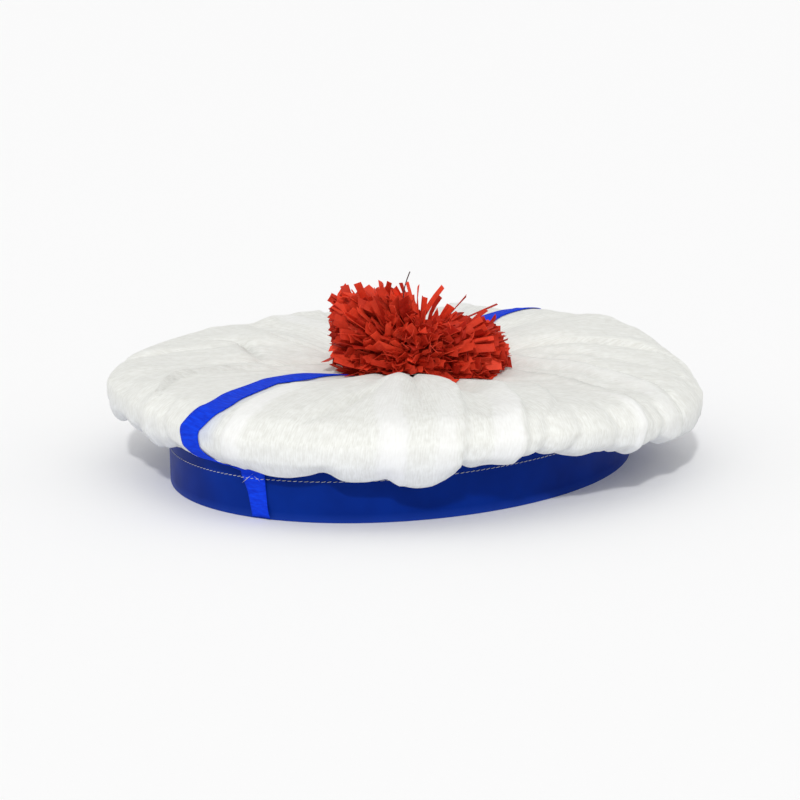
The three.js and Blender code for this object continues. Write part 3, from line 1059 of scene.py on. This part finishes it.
    def relief(self, azimuth: Array, place: Array) -> Array:
        """How far the cloth stands out from its smooth form.

        It is the sum of the folds, of broad panels, of fine wrinkles along the folds, of a
        crumple on the roll, of the gathers near the neck and of those over the band's edge.

        Args:
            azimuth: In degrees.
            place: From 0 at the seam to 1 at the gather.

        Returns:
            Distances along the normal, in millimetres.
        """
        way = self.way(place)
        smooth = self.smooth_point(azimuth, place)
        centre = self.band.centre[:2] + np.array(self.gather[:2])
        radius = np.hypot(*(smooth[..., :2] - centre).transpose(-1, *range(smooth.ndim - 1)))
        tight = np.clip(radius / 42.0, 0.28, 1.0)
        total = np.zeros_like(radius)
        for fold in FOLDS:
            across = self.across(fold, azimuth, way, np.maximum(radius, 6.0))
            total += self.strength(fold, way) * self.shape(fold.kind, across, fold.width * tight)
        flow = azimuth - 14 * np.clip(way, 0, 1) * np.sin(np.radians(azimuth - 20))
        panels = self.panel * ring_noise(flow, (way + 1) / 2, 16, 4, 11)
        wrinkles = self.wrinkle * ring_noise(flow, (way + 1) / 2, 96, 5, 12) * ease(radius, 20, 60)
        crumple = self.crumple * ring_noise(azimuth, place, 110, 26, 13)
        crumple = crumple * ease(place, 4.5 / SPANS, 6 / SPANS)
        crumple = crumple * (1 - ease(place, 7.5 / SPANS, 10 / SPANS))
        near = np.exp(-np.maximum(radius - 12, 0) / 13)
        gathers = self.gathers * ring_noise(flow, way * 0, 60, 1, 14) * near
        seam = self.seam_gathers * ring_noise(azimuth, place * 0, 84, 1, 15)
        seam = seam * ease(place, 3.2 / SPANS, 4.2 / SPANS)
        seam = seam * (1 - ease(place, 4.8 / SPANS, 6.5 / SPANS))
        outside = ease(place, 3.4 / SPANS, 5 / SPANS)
        folds = (total + panels + wrinkles + gathers * ease(place, SHOULDER, 12 / SPANS)) * outside
        return (folds + crumple + seam + self.lip(azimuth, place)) * ease(radius, 3.0, 12.0)

    def lip(self, azimuth: Array, place: Array) -> Array:
        """A sharp edge low on the roll at the wearer's left, where the cloth is pressed flat.

        It falls off evenly from its line along the outline, and as a bell round the cap.

        Args:
            azimuth: In degrees.
            place: From 0 at the seam to 1 at the gather.

        Returns:
            Heights, in millimetres.
        """
        span = (place - 5.9 / SPANS) * SPANS
        line = np.exp(0.1 / 0.55 - np.hypot(span, 0.1) / 0.55)
        return self.lip_height * line * np.exp(-((turn(26.0, azimuth) / 30.0) ** 2))

    def point(self, azimuth: Array, place: Array, lift: Array | float = 0.0) -> Array:
        """A point of the folded crown: the smooth point moved out along the normal.

        Args:
            azimuth: In degrees.
            place: From 0 at the seam to 1 at the gather.
            lift: How far the point is off the cloth, in millimetres.

        Returns:
            Points as (..., 3).
        """
        azimuth, place = np.broadcast_arrays(np.asarray(azimuth, float), np.asarray(place, float))
        proud = self.relief(azimuth, place) + lift
        return self.smooth_point(azimuth, place) + self.normal(azimuth, place) * proud[..., None]

    def height_near_gather(self, x: Array, y: Array) -> Array:
        """The height of the folded cloth over points near the gather, above the gather.

        Args:
            x: To the wearer's left of the gather.
            y: To the back of the gather.

        Returns:
            Heights over the gather's own.
        """
        radius, azimuth = np.hypot(x, y), np.degrees(np.arctan2(y, x))
        distances = [0.0, self.neck_radius, 2 * self.neck_radius, 46.0, 72.0]
        place = np.interp(radius, distances, [n / SPANS for n in (14, 13, 12, 11, 10)])
        return self.point(azimuth, place)[..., 2] - self.gather[2]

    def whiteness(self, azimuth: Array, place: Array) -> Array:
        """How much whiter the cloth is where a pleat makes it three layers thick.

        Args:
            azimuth: In degrees.
            place: From 0 at the seam to 1 at the gather.

        Returns:
            Shares, from 0 to 1.
        """
        way = self.way(place)
        white = np.zeros(np.broadcast(azimuth, place).shape)
        for fold in FOLDS:
            if fold.kind is Kind.BAND:
                across = self.across(fold, azimuth, way, 105.0 * (1 - 0.6 * np.clip(way, 0, 1)))
                strength = self.strength(fold, way) / max(fold.height)
                pleat = fold.white * strength * self.shape(fold.kind, across, fold.width)
                white = np.maximum(white, pleat)
        return white

    def build(self) -> bpy.types.Object:
        """Makes the cloth as two grids a thickness apart, joined at the seam, each closed at its pole.

        Returns:
            The piece.
        """
        azimuth = np.arange(self.columns) * 360.0 / self.columns
        seam_rows = np.linspace(0.0, 2.6 / SPANS, 6, endpoint=False)
        rest = np.linspace(2.6 / SPANS, 1.0, self.rows - 5)[:-1]
        place = np.concatenate([seam_rows, rest])
        azimuths, places = np.meshgrid(azimuth, place)
        outer = self.point(azimuths, places)
        down = self.normal(azimuths, places)
        pole = self.point(np.array([0.0]), np.array([1.0]))
        inner = outer - down * self.cloth
        points = np.concatenate(
            [outer.reshape(-1, 3), pole, inner.reshape(-1, 3), pole - [0, 0, self.cloth]]
        )
        count, around_count = azimuths.size, self.columns
        upper = grid_faces(len(place), around_count, True)
        first = np.arange(around_count)
        after = np.roll(first, -1)
        last = first + count - around_count
        cap = np.stack([last, np.roll(last, -1), np.full(around_count, count)], axis=-1)
        lower = count + 1
        hem = np.stack([first + lower, after + lower, after, first], axis=-1)
        faces = [upper, cap, upper[:, ::-1] + lower, cap[:, ::-1] + lower, hem]
        piece = make_mesh("cloth_crown", points, faces)
        white = np.append(self.whiteness(azimuths, places), 0.0)
        # Painted blue reflected light on the cloth, one value per point.
        beside = self.painted_blue_light(azimuths, places)
        add_values(piece, "layers", np.tile(white, 2))
        add_values(piece, "painted_blue_light_share", np.tile(np.append(beside, 0.0), 2))
        flat = np.stack([np.radians(azimuths) * 95.0, places * 190.0], axis=-1).reshape(-1, 2)
        flat = np.concatenate([flat, [[0.0, 190.0]]])
        add_uv(piece, np.tile(flat, (2, 1)))
        piece.data.materials.append(CLOTH.material())
        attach(piece, "root")
        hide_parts("crown")
        return piece

    def painted_blue_light(self, azimuth: Array, place: Array) -> Array:
        """How much painted blue reflected light the cloth gets: beside the ribbon, and over the band low
        down.

        Args:
            azimuth: In degrees.
            place: From 0 at the seam to 1 at the gather.

        Returns:
            Shares, from 0 to 1.
        """
        way = np.clip(self.way(place), 0.0, 1.0)
        across = np.radians(turn(259.5 - 6 * way, azimuth)) * 100
        # Painted blue reflected light from the ribbon, on the cloth beside it.
        beside = 0.3 * np.exp(-((across / 5.0) ** 2)) * (1 - ease(way, 0.25, 0.6))
        # Painted blue reflected light from the band, low on the roll over it.
        over_band = 0.12 * (1 - ease(place, 5.2 / SPANS, 7.2 / SPANS))
        return beside * ease(place, 6 / SPANS, RIM) + over_band


# ------------------------------------------------------------------ the ribbon


@dataclass(frozen=True)
class RibbonHalf:
    """One half of the ribbon's way: its end's azimuth, then the azimuth of its middle line.

    course has pairs of a place on the crown's outline, in spans from the seam, and an azimuth.
    """

    end: float
    course: tuple[tuple[float, float], ...]


@dataclass
class Ribbon:
    """The crepe ribbon, laid along the cap from the front of the band to the back."""

    crown: Crown
    front: RibbonHalf = RibbonHalf(
        end=271.6,
        course=(
            (4.0, 269.6), (4.6, 267.0), (5.2, 259.8), (5.6, 257.5), (6.2, 256.2), (6.8, 255.8),
            (7.5, 257.0), (8.4, 258.2), (9.3, 255.0), (10.1, 248.5), (10.9, 240.5), (12.0, 228.0),
            (14.0, 221.0),
        ),
    )
    back: RibbonHalf = RibbonHalf(
        end=90.0, course=((4.0, 91.0), (7.0, 92.0), (10.0, 94.0), (14.0, 96.0))
    )
    width: float = 10.5
    end_width: float = 7.5
    paper: float = 0.25
    lift: float = 0.45
    columns: int = 9
    end_height: float = 0.8
    free_height: float = 17.0
    bridge_radius: float = 11.0

    def azimuth(self, half: RibbonHalf, place: Array) -> Array:
        """The azimuth of the ribbon's middle line at each place on the crown.

        It is the mean of seven straight readings of the course about the place, which rounds
        its corners.

        Args:
            half: The half of the ribbon.
            place: From 0 at the seam to 1 at the gather.

        Returns:
            Azimuths, in degrees.
        """
        spans, azimuths = np.array(half.course).T
        shifts = np.linspace(-0.3, 0.3, 7)
        return sum(np.interp(place * SPANS + shift, spans, azimuths) for shift in shifts) / 7

    def half_rows(self, half: RibbonHalf, side: float) -> Array:
        """The rows of points of one half, from its end on the band to the bridge.

        Args:
            half: Its azimuths.
            side: 1 where the ribbon's left to right goes anticlockwise, else -1.

        Returns:
            Grid of points, (rows, columns, 3).
        """
        shares = side * np.linspace(-0.5, 0.5, self.columns)[None, :]
        band, crown = self.crown.band, self.crown
        up = np.linspace(0.0, 1.0, 14)[:, None]
        seam = half.course[0][1]
        centre = mix(half.end, seam, up)
        width = mix(self.end_width, 0.5 * (self.end_width + self.width), up)
        width = width * (1 - 0.12 * np.sin(math.pi * up * 1.6))
        azimuth = centre + np.degrees(shares * width / band.radius(seam))
        height = mix(self.end_height, self.free_height, up) + 0 * shares
        curl = self.lift + 0.7 * (1 - up) ** 2 * np.abs(2 * shares) ** 1.5
        curl = curl + 0.25 * np.sin(9 * up + 2 * shares)
        below = band.outside(azimuth, height, curl)
        place = np.linspace(mix(UNDER, 5 / SPANS, 0.6), 1.0, 150)[:, None]
        middle = self.azimuth(half, place)
        spot = crown.smooth_point(middle, place)[:, 0, :2] - band.centre[:2] - crown.gather[:2]
        radius = np.linalg.norm(spot, axis=-1)[:, None]
        keep = radius[:, 0] > self.bridge_radius
        place, middle, radius = place[keep], middle[keep], radius[keep]
        width = mix(0.5 * (self.end_width + self.width), self.width, ease(place, 5 / SPANS, RIM))
        width = width * (1 - 0.35 * ease(radius, 55.0, 25.0)) + 0.4 * np.sin(23 * place) * side
        azimuth = middle + np.degrees(shares * width / radius)
        azimuth, place = np.broadcast_arrays(azimuth, place)
        cloth = crown.relief(azimuth, place)
        bridged = self.drawn_tight(cloth)
        lift = bridged - cloth + self.lift
        return np.concatenate([below, crown.point(azimuth, place, lift)])

    def drawn_tight(self, cloth: Array) -> Array:
        """The cloth's relief below the ribbon with its narrow hollows bridged.

        Each pass averages neighbours along and across, and then lifts to the cloth again.

        Args:
            cloth: The relief on the ribbon's grid.

        Returns:
            The bridged relief.
        """
        held = cloth.copy()
        for _ in range(12):
            padded = np.pad(held, 1, mode="edge")
            before, after = padded[:-2, 1:-1], padded[2:, 1:-1]
            left, right = padded[1:-1, :-2], padded[1:-1, 2:]
            held = np.maximum((before + after + left + right) / 4, cloth)
        return held

    def build(self) -> bpy.types.Object:
        """Joins the two halves by a short bridge over the gather, under the pompom.

        Returns:
            The piece.
        """
        front, back = self.half_rows(self.front, 1.0), self.half_rows(self.back, -1.0)[::-1]
        shares = np.linspace(0.0, 1.0, 12)[1:-1, None, None]
        bridge = mix(front[-1][None], back[0][None], shares)
        bridge = bridge + np.array([0, 0, 1.2]) * np.sin(math.pi * shares)
        middle = np.concatenate([front, bridge, back])
        length_way, across_way = np.gradient(middle, axis=0), np.gradient(middle, axis=1)
        normal = unit(np.cross(across_way, length_way))
        piece = sheet_mesh("crepe_ribbon", middle, normal, self.paper)
        steps = np.linalg.norm(np.diff(middle[:, self.columns // 2], axis=0), axis=-1)
        along = np.concatenate([[0.0], np.cumsum(steps)])
        across = np.linspace(-self.width / 2, self.width / 2, self.columns)
        flat = np.stack(np.broadcast_arrays(across[None, :], along[:, None]), axis=-1).reshape(-1, 2)
        add_uv(piece, np.tile(flat, (2, 1)))
        piece.data.materials.append(CREPE.material())
        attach(piece, "root")
        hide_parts("ribbon")
        return piece


# ------------------------------------------------------------------ the sewing


@dataclass
class Stitching:
    """The lockstitch seam that holds the cloth to the band, sewn a little askew."""

    band: Band
    ribbon: Ribbon
    height: float = 15.5
    rise: float = 0.0157
    rise_azimuth: float = 31.3
    pitch: float = 2.1
    length: float = 1.8
    thread: float = 0.26
    slant: float = 9.0

    def seam_height(self, azimuth: Array) -> Array:
        """The height of the seam, which climbs steadily towards one side of the cap."""
        toward = np.cos(np.radians(azimuth - self.rise_azimuth)) * self.band.radius(azimuth)
        return self.height + self.rise * toward

    def stitches(self, azimuth: Array, lengths: Array, slants: Array, proud: Array) -> Array:
        """Stitches as short tubes that bow out of the card, all in one array.

        Args:
            azimuth: Of each stitch.
            lengths: Of each stitch, in millimetres.
            slants: Of each stitch, in degrees from level.
            proud: How far each stitch's ends are from the card's outer face.

        Returns:
            Points, (stitches, rings, sides, 3).
        """
        along = np.linspace(-0.5, 0.5, 7)
        turned = np.arange(6) * math.tau / 6
        bow = 1 - (2 * along) ** 2
        thick = 0.5 * self.thread * np.sqrt(np.clip(1.02 - (2 * along) ** 4, 0.02, 1.0))
        run = along[None, :] * lengths[:, None]
        level = run * np.cos(np.radians(slants))[:, None]
        lift = run * np.sin(np.radians(slants))[:, None]
        centre_az = azimuth[:, None] + np.degrees(level / self.band.radius(azimuth)[:, None])
        height = self.seam_height(azimuth)[:, None] + lift
        out = proud[:, None] + (self.thread * 0.45) * bow[None, :]
        ring_out = out[..., None] + thick[None, :, None] * np.cos(turned)
        ring_up = height[..., None] + thick[None, :, None] * np.sin(turned)
        return self.band.outside(centre_az[..., None] + 0 * ring_up, ring_up, ring_out)

    def build(self) -> bpy.types.Object:
        """Makes the outer and the inner rows of stitches and the ones that cross the ribbon.

        Returns:
            The piece.
        """
        rim = np.linspace(0.0, 360.0, 2000, endpoint=False)
        steps = np.linalg.norm(np.diff(self.band.outside(rim, 0 * rim, 0.0), axis=0), axis=-1)
        run = np.concatenate([[0.0], np.cumsum(steps)])
        azimuth = np.interp(np.arange(0.0, run[-1], self.pitch), run, rim)
        random = np.random.default_rng(21)
        count = len(azimuth)
        lengths = self.length + random.normal(0.0, 0.12, count)
        slants = self.slant + random.normal(0.0, 2.5, count)
        over = np.abs(turn(self.ribbon.front.course[0][1], azimuth)) < 2.6
        over |= np.abs(turn(self.ribbon.back.course[0][1], azimuth)) < 2.6
        outer = self.stitches(azimuth, lengths, slants, 0.1 + 0.55 * over + self.band.lap(azimuth))
        inner = self.stitches(azimuth, lengths, -slants, np.full(count, -self.band.card - 0.75))
        tails = self.stitches(
            np.array([268.6, 270.9, 91.0]), np.array([7.0, 5.0, 6.0]), np.array([38.0, -30.0, 34.0]),
            np.full(3, 0.6),
        )
        groups = np.concatenate([outer, inner, tails])
        total, rings, sides = groups.shape[:3]
        one = grid_faces(rings, sides, True)
        shifts = (np.arange(total) * rings * sides)[:, None, None]
        tubes = (one[None] + shifts).reshape(-1, 4)
        first = (np.arange(sides)[::-1][None] + shifts[:, 0]).reshape(total, sides)
        last = (np.arange(sides)[None] + (rings - 1) * sides + shifts[:, 0]).reshape(total, sides)
        faces = [part[:, ::-1] for part in (tubes, first, last)]
        piece = make_mesh("seam_stitches", groups.reshape(-1, 3), faces)
        piece.data.materials.append(THREAD.material())
        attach(piece, "root")
        return piece


# ------------------------------------------------------------------ the pompom


@dataclass(frozen=True)
class Bundle:
    """One bundle of the pompom's fringe: its middle from the gather, its half sizes, its strips.

    boxed is the power that its lobe is measured by: 2 for a ball, more for a box.
    """

    middle: tuple[float, float, float]
    sizes: tuple[float, float, float]
    strips: int
    boxed: float


@dataclass(frozen=True)
class Stray:
    """A strip that sticks out of the pompom: where it ends from the gather, and its curl."""

    end: tuple[float, float, float]
    width: float
    curl: float


@dataclass
class Pompom:
    """The fringed tissue pompom: two tied bundles of cut strips, and the end of the tie.

    The bundles lie along a line turned from +X, and the places in them are along and across
    that line.
    """

    crown: Crown
    turned: float = 31.3
    tie: tuple[float, float, float] = (0.0, 2.0, 7.0)
    strip_width: float = 3.5
    paper: float = 0.16
    rows: int = 8
    bundles: tuple[Bundle, ...] = (
        Bundle(middle=(-15.0, 0.0, 17.0), sizes=(16.5, 19.0, 17.0), strips=560, boxed=5.0),
        Bundle(middle=(16.0, 0.0, 10.0), sizes=(20.5, 19.0, 13.5), strips=520, boxed=3.0),
        Bundle(middle=(3.0, -4.0, 10.0), sizes=(17.0, 18.0, 13.0), strips=260, boxed=2.0),
    )
    strays: tuple[Stray, ...] = (
        Stray(end=(-8.5, 0.0, 37.5), width=2.2, curl=7.0),
        Stray(end=(3.0, -2.0, 37.0), width=3.0, curl=-2.0),
        Stray(end=(13.0, 3.0, 34.0), width=2.2, curl=6.0),
        Stray(end=(11.0, 6.0, 30.5), width=1.8, curl=-4.0),
        Stray(end=(37.5, -4.0, 8.5), width=4.2, curl=1.0),
        Stray(end=(35.0, -7.0, 4.5), width=4.4, curl=0.5),
        Stray(end=(33.5, 12.0, 26.0), width=1.6, curl=1.0),
    )

    def placed(self, points: Array) -> Array:
        """Points along and across the bundles' line, turned and moved into the cap's frame.

        Args:
            points: Points from the gather, (..., 3).

        Returns:
            Points in the cap's frame.
        """
        angle = math.radians(self.turned)
        along, across = points[..., 0], points[..., 1]
        x = along * math.cos(angle) - across * math.sin(angle)
        y = along * math.sin(angle) + across * math.cos(angle)
        spot = self.crown.band.centre + np.array(self.crown.gather)
        return np.stack([x, y, points[..., 2]], axis=-1) + spot

    def ends(self, bundle: Bundle, random: np.random.Generator) -> Array:
        """Where a bundle's strips end: spread over a boxy lobe, some short of its surface.

        The lobe is a ball measured by a higher power than the square, so that its sides are
        flatter, as those of trimmed fringe are.

        Args:
            bundle: The bundle.
            random: The source of the spread.

        Returns:
            Points from the gather, (strips, 3).
        """
        count = bundle.strips
        up = random.uniform(-0.85, 1.0, count)
        angle = random.uniform(0.0, math.tau, count)
        level = np.sqrt(1 - up**2)
        ball = np.stack([np.cos(angle) * level, np.sin(angle) * level, up], axis=-1)
        ball /= np.sum(np.abs(ball) ** bundle.boxed, axis=-1, keepdims=True) ** (1 / bundle.boxed)
        reach = 1.04 - 0.4 * random.beta(1.2, 2.4, count)
        return np.array(bundle.middle) + ball * np.array(bundle.sizes) * reach[:, None]

    def strips(
        self, ends: Array, middle: Array, widths: Array, bends: Array, random: np.random.Generator
    ) -> Array:
        """Strips of tissue as thin closed slips, each along a bent way from the tie to its end.

        The way runs straight from near the tie, is pushed sideways in its middle by a parabola
        and kinked near the end. The strip's face looks away from the bundle's middle, give or
        take a turn, and the strip is cupped across and cut off square.

        Args:
            ends: Where each strip ends, (n, 3).
            middle: The middle of its bundle.
            widths: Of each strip.
            bends: How far each strip's middle is pushed sideways.
            random: The source of its turns.

        Returns:
            Points, (n, rows, 6, 3): three on the upper face and three on the lower.
        """
        count = len(ends)
        start = np.array(self.tie) + random.normal(0.0, 1.0, (count, 3)) * [5.0, 4.0, 2.5]
        run = ends - start
        way = unit(run)
        away = ends - middle + random.normal(0.0, 3.0, (count, 3))
        face = unit(away - way * np.sum(away * way, axis=-1, keepdims=True))
        t = np.linspace(0.0, 1.0, self.rows)[None, :, None]
        length = np.linalg.norm(run, axis=-1)[:, None, None]
        kink_at = random.uniform(0.5, 0.9, (count, 1, 1))
        kink = random.normal(0.0, 0.35, (count, 1, 1)) * np.clip(t - kink_at, 0.0, 1.0) * length
        path = start[:, None] + run[:, None] * t
        path = path + face[:, None] * (bends[:, None, None] * 4 * t * (1 - t) + kink)
        tangent = unit(np.gradient(path, axis=1))
        roll = random.normal(0.0, 0.7, (count, 1, 1)) + random.normal(0.0, 0.8, (count, 1, 1)) * t
        across = unit(np.cross(tangent, face[:, None]))
        high = np.cross(across, tangent)
        breadth = across * np.cos(roll) + high * np.sin(roll)
        outward = np.cross(breadth, tangent)
        narrow = widths[:, None, None] * (0.55 + 0.45 * ease(t, 0.0, 0.5))
        cup = random.normal(0.0, 0.08, (count, 1, 1)) * narrow
        skew = tangent * random.normal(0.0, 0.12, (count, 1, 1)) * narrow * (t == 1.0)
        left = path - breadth * narrow / 2 + outward * cup - skew
        right = path + breadth * narrow / 2 + outward * cup + skew
        upper = np.stack([left, path, right], axis=2)
        thick = outward[:, :, None] * self.paper
        return np.concatenate([upper + thick / 2, (upper - thick / 2)[:, :, ::-1]], axis=2)

    def join(self, strips: Array) -> tuple[Array, list[Array]]:
        """All strips as one list: a ring of quads along each, closed at both ends.

        Args:
            strips: Points, (n, rows, ring, 3).

        Returns:
            Points as (m, 3), and arrays of faces.
        """
        count, rows, ring = strips.shape[:3]
        shifts = (np.arange(count) * rows * ring)[:, None, None]
        tube = (grid_faces(rows, ring, True)[None] + shifts).reshape(-1, 4)
        lids = np.array([[0, 1, 4, 5], [1, 2, 3, 4]])
        first = (lids[None] + shifts).reshape(-1, 4)
        last = (lids[None] + (rows - 1) * ring + shifts).reshape(-1, 4)
        return strips.reshape(-1, 3), [tube, first[:, ::-1], last]

    def core(self) -> tuple[Array, Array]:
        """The crumpled middle of the pompom, where the strips are too close to tell apart.

        A lumpy ball: a sphere on a grid whose radius is pushed in and out by sines.

        Returns:
            Points as (rows, columns, 3), and faces.
        """
        rows, columns = 26, 40
        up = np.linspace(-math.pi / 2, math.pi / 2, rows)[:, None]
        angle = np.arange(columns)[None, :] * math.tau / columns
        lumps = 1 + 0.16 * np.sin(5 * angle + 3 * up) * np.cos(7 * up)
        lumps = lumps + 0.1 * np.sin(11 * angle) * np.cos(up)
        level = np.cos(up) * lumps
        ball = np.stack([np.cos(angle) * level, np.sin(angle) * level, np.sin(up) * lumps], axis=-1)
        size, middle = np.array([19.0, 11.0, 8.0]), np.array([1.0, 1.0, 11.5])
        return ball * size + middle, grid_faces(rows, columns, True)

    def build(self) -> list[bpy.types.Object]:
        """Makes the fringe, its core and the end of the tying thread.

        Returns:
            The pieces.
        """
        random = np.random.default_rng(33)
        parts = []
        for bundle in self.bundles:
            ends = self.ends(bundle, random)
            widths = self.strip_width + random.normal(0.0, 0.7, len(ends))
            bends = random.normal(0.8, 1.6, len(ends))
            parts.append(self.strips(ends, np.array(bundle.middle), widths, bends, random))
        ends = np.array([stray.end for stray in self.strays])
        widths = np.array([stray.width for stray in self.strays])
        bends = np.array([stray.curl for stray in self.strays])
        parts.append(self.strips(ends, np.array([4.0, 2.0, 14.0]), widths, bends, random))
        strips = np.concatenate(parts)
        strips[..., 2] = np.maximum(strips[..., 2], self.floor(strips))
        points, faces = self.join(strips)
        core, core_faces = self.core()
        core[..., 2] = np.maximum(core[..., 2], self.floor(core))
        faces.append(core_faces + len(points))
        shade = np.repeat(random.uniform(0.0, 1.0, len(strips)), strips.shape[1] * strips.shape[2])
        everything = self.placed(np.concatenate([points, core.reshape(-1, 3)]))
        piece = make_mesh("tissue_pompom", everything, faces, smooth=False)
        # The core gets a lower value than any strip, a painted shade in the pompom's middle.
        add_values(piece, "shade", np.concatenate([shade, np.full(core[..., 0].size, -0.2)]))
        piece.data.materials.append(TISSUE.material())
        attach(piece, "root")
        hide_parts("pompom")
        return [piece, self.thread_end()]

    def floor(self, points: Array) -> Array:
        """The lowest that the fringe may lie, from the gather: just over the folds of the cloth.

        It is 0.7 mm over them, and 2.3 mm close to the gather, where the folds are steep.

        Args:
            points: Points from the gather, (..., 3).

        Returns:
            Heights from the gather.
        """
        spot = self.placed(points) - self.crown.band.centre - np.array(self.crown.gather)
        over = 0.7 + 1.6 * ease(-np.hypot(spot[..., 0], spot[..., 1]), -24.0, -14.0)
        return self.crown.height_near_gather(spot[..., 0], spot[..., 1]) + over

    def thread_end(self) -> bpy.types.Object:
        """The free end of the tying thread: a fine tube along a short arc out of the fringe.

        Returns:
            The piece.
        """
        t = np.linspace(0.0, 1.0, 14)[:, None]
        base, tip = np.array([-3.0, -2.0, 27.0]), np.array([-0.6, 0.0, 41.5])
        path = base + (tip - base) * t + np.array([-1.2, 0.0, 0.0]) * np.sin(math.pi * t)
        tangent = unit(np.gradient(path, axis=0))
        side = unit(np.cross(tangent, [0.0, 1.0, 0.0]))
        other = np.cross(tangent, side)
        turned = np.arange(6)[None, :, None] * math.tau / 6
        ring = side[:, None] * np.cos(turned) + other[:, None] * np.sin(turned)
        points = path[:, None] + ring * 0.22
        rows, sides = points.shape[:2]
        tube = grid_faces(rows, sides, True)[:, ::-1]
        first = np.arange(sides)[None]
        last = (np.arange(sides)[::-1] + (rows - 1) * sides)[None]
        faces = [part[:, ::-1] for part in (tube, first, last)]
        piece = make_mesh("tie_thread_end", self.placed(points.reshape(-1, 3)), faces)
        piece.data.materials.append(DARK_THREAD.material())
        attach(piece, "root")
        return piece


# ------------------------------------------------------------------ the studio


@dataclass
class Studio:
    """A pale floor, soft light and the camera."""

    target: Array
    azimuth: float = 31.3
    elevation: float = 12.0
    roll: float = -1.0
    distance: float = 1000.0
    lens: float = 115.6
    room_light: float = 0.78
    key_light: float = 1.35
    key_blur: float = 3.5
    key_azimuth: float = 27.3
    key_elevation: float = 36.0
    floor_size: float = 20000.0

    def toward(self, azimuth: float, elevation: float) -> Vector:
        """The direction from the cap to a spot.

        Args:
            azimuth: Of the spot in degrees, from the front towards +X.
            elevation: Of the spot in degrees, over the floor.

        Returns:
            The unit direction.
        """
        round_way, up = math.radians(azimuth), math.radians(elevation)
        level = math.cos(up)
        return Vector((math.sin(round_way) * level, -math.cos(round_way) * level, math.sin(up)))

    def floor(self) -> None:
        """A wide pale floor."""
        size = self.floor_size
        corners = np.array([[-size, -size, 0], [size, -size, 0], [size, size, 0], [-size, size, 0]])
        floor = make_mesh("floor", corners, [np.array([[0, 1, 2, 3]])], smooth=False)
        material = bpy.data.materials.new("pale_paper_floor")
        material.use_nodes = True
        surface = material.node_tree.nodes["Principled BSDF"]
        surface.inputs["Base Color"].default_value = linear("#f8f8f8")
        surface.inputs["Roughness"].default_value = 0.9
        floor.data.materials.append(material)

    def light(self) -> None:
        """Even light from all round, and a soft key from beside and above the camera."""
        world = bpy.data.worlds.new("soft_box")
        world.use_nodes = True
        world.node_tree.nodes["Background"].inputs["Color"].default_value = linear("#ffffff")
        world.node_tree.nodes["Background"].inputs["Strength"].default_value = self.room_light
        bpy.context.scene.world = world
        lamp = bpy.data.lights.new("key", "SUN")
        lamp.energy = self.key_light
        lamp.angle = math.radians(self.key_blur)
        key = bpy.data.objects.new("key", lamp)
        back = self.toward(self.key_azimuth, self.key_elevation)
        key.rotation_mode = "QUATERNION"
        key.rotation_quaternion = (-back).to_track_quat("-Z", "Y")
        bpy.context.scene.collection.objects.link(key)

    def camera(self) -> None:
        """The camera, turned a degree about its own axis."""
        data = bpy.data.cameras.new("camera")
        data.lens, data.sensor_width = self.lens, 36.0
        data.clip_start, data.clip_end = 0.05, 60.0
        camera = bpy.data.objects.new("camera", data)
        back = self.toward(self.azimuth, self.elevation)
        camera.rotation_mode = "QUATERNION"
        camera.location = Vector(self.target * MM) + back * self.distance * MM
        level = (-back).to_track_quat("-Z", "Y")
        camera.rotation_quaternion = level @ Quaternion((0, 0, 1), math.radians(self.roll))
        bpy.context.scene.collection.objects.link(camera)
        bpy.context.scene.camera = camera

    def build(self) -> None:
        """Sets up floor, light, camera and plain colours."""
        self.floor()
        self.light()
        self.camera()
        bpy.context.scene.view_settings.view_transform = "Standard"


def main() -> None:
    """Builds the cap piece by piece around the frame."""
    logging.basicConfig(level=logging.INFO, format="%(message)s")
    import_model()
    band_low, band_high = (np.array(corner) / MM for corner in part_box("band"))
    centre = np.array([*(band_low + band_high)[:2] / 2, 0.0])
    band = Band(centre)
    crown = Crown(band)
    ribbon = Ribbon(crown)
    for maker in (band, crown, ribbon, Stitching(band, ribbon), Pompom(crown)):
        made = maker.build()
        for piece in made if isinstance(made, list) else [made]:
            LOG.info("%s: %d faces", piece.name, len(piece.data.polygons))
    Studio(target=centre + np.array([-1.1, -0.7, 23.5])).build()


if __name__ == "__main__":
    main()
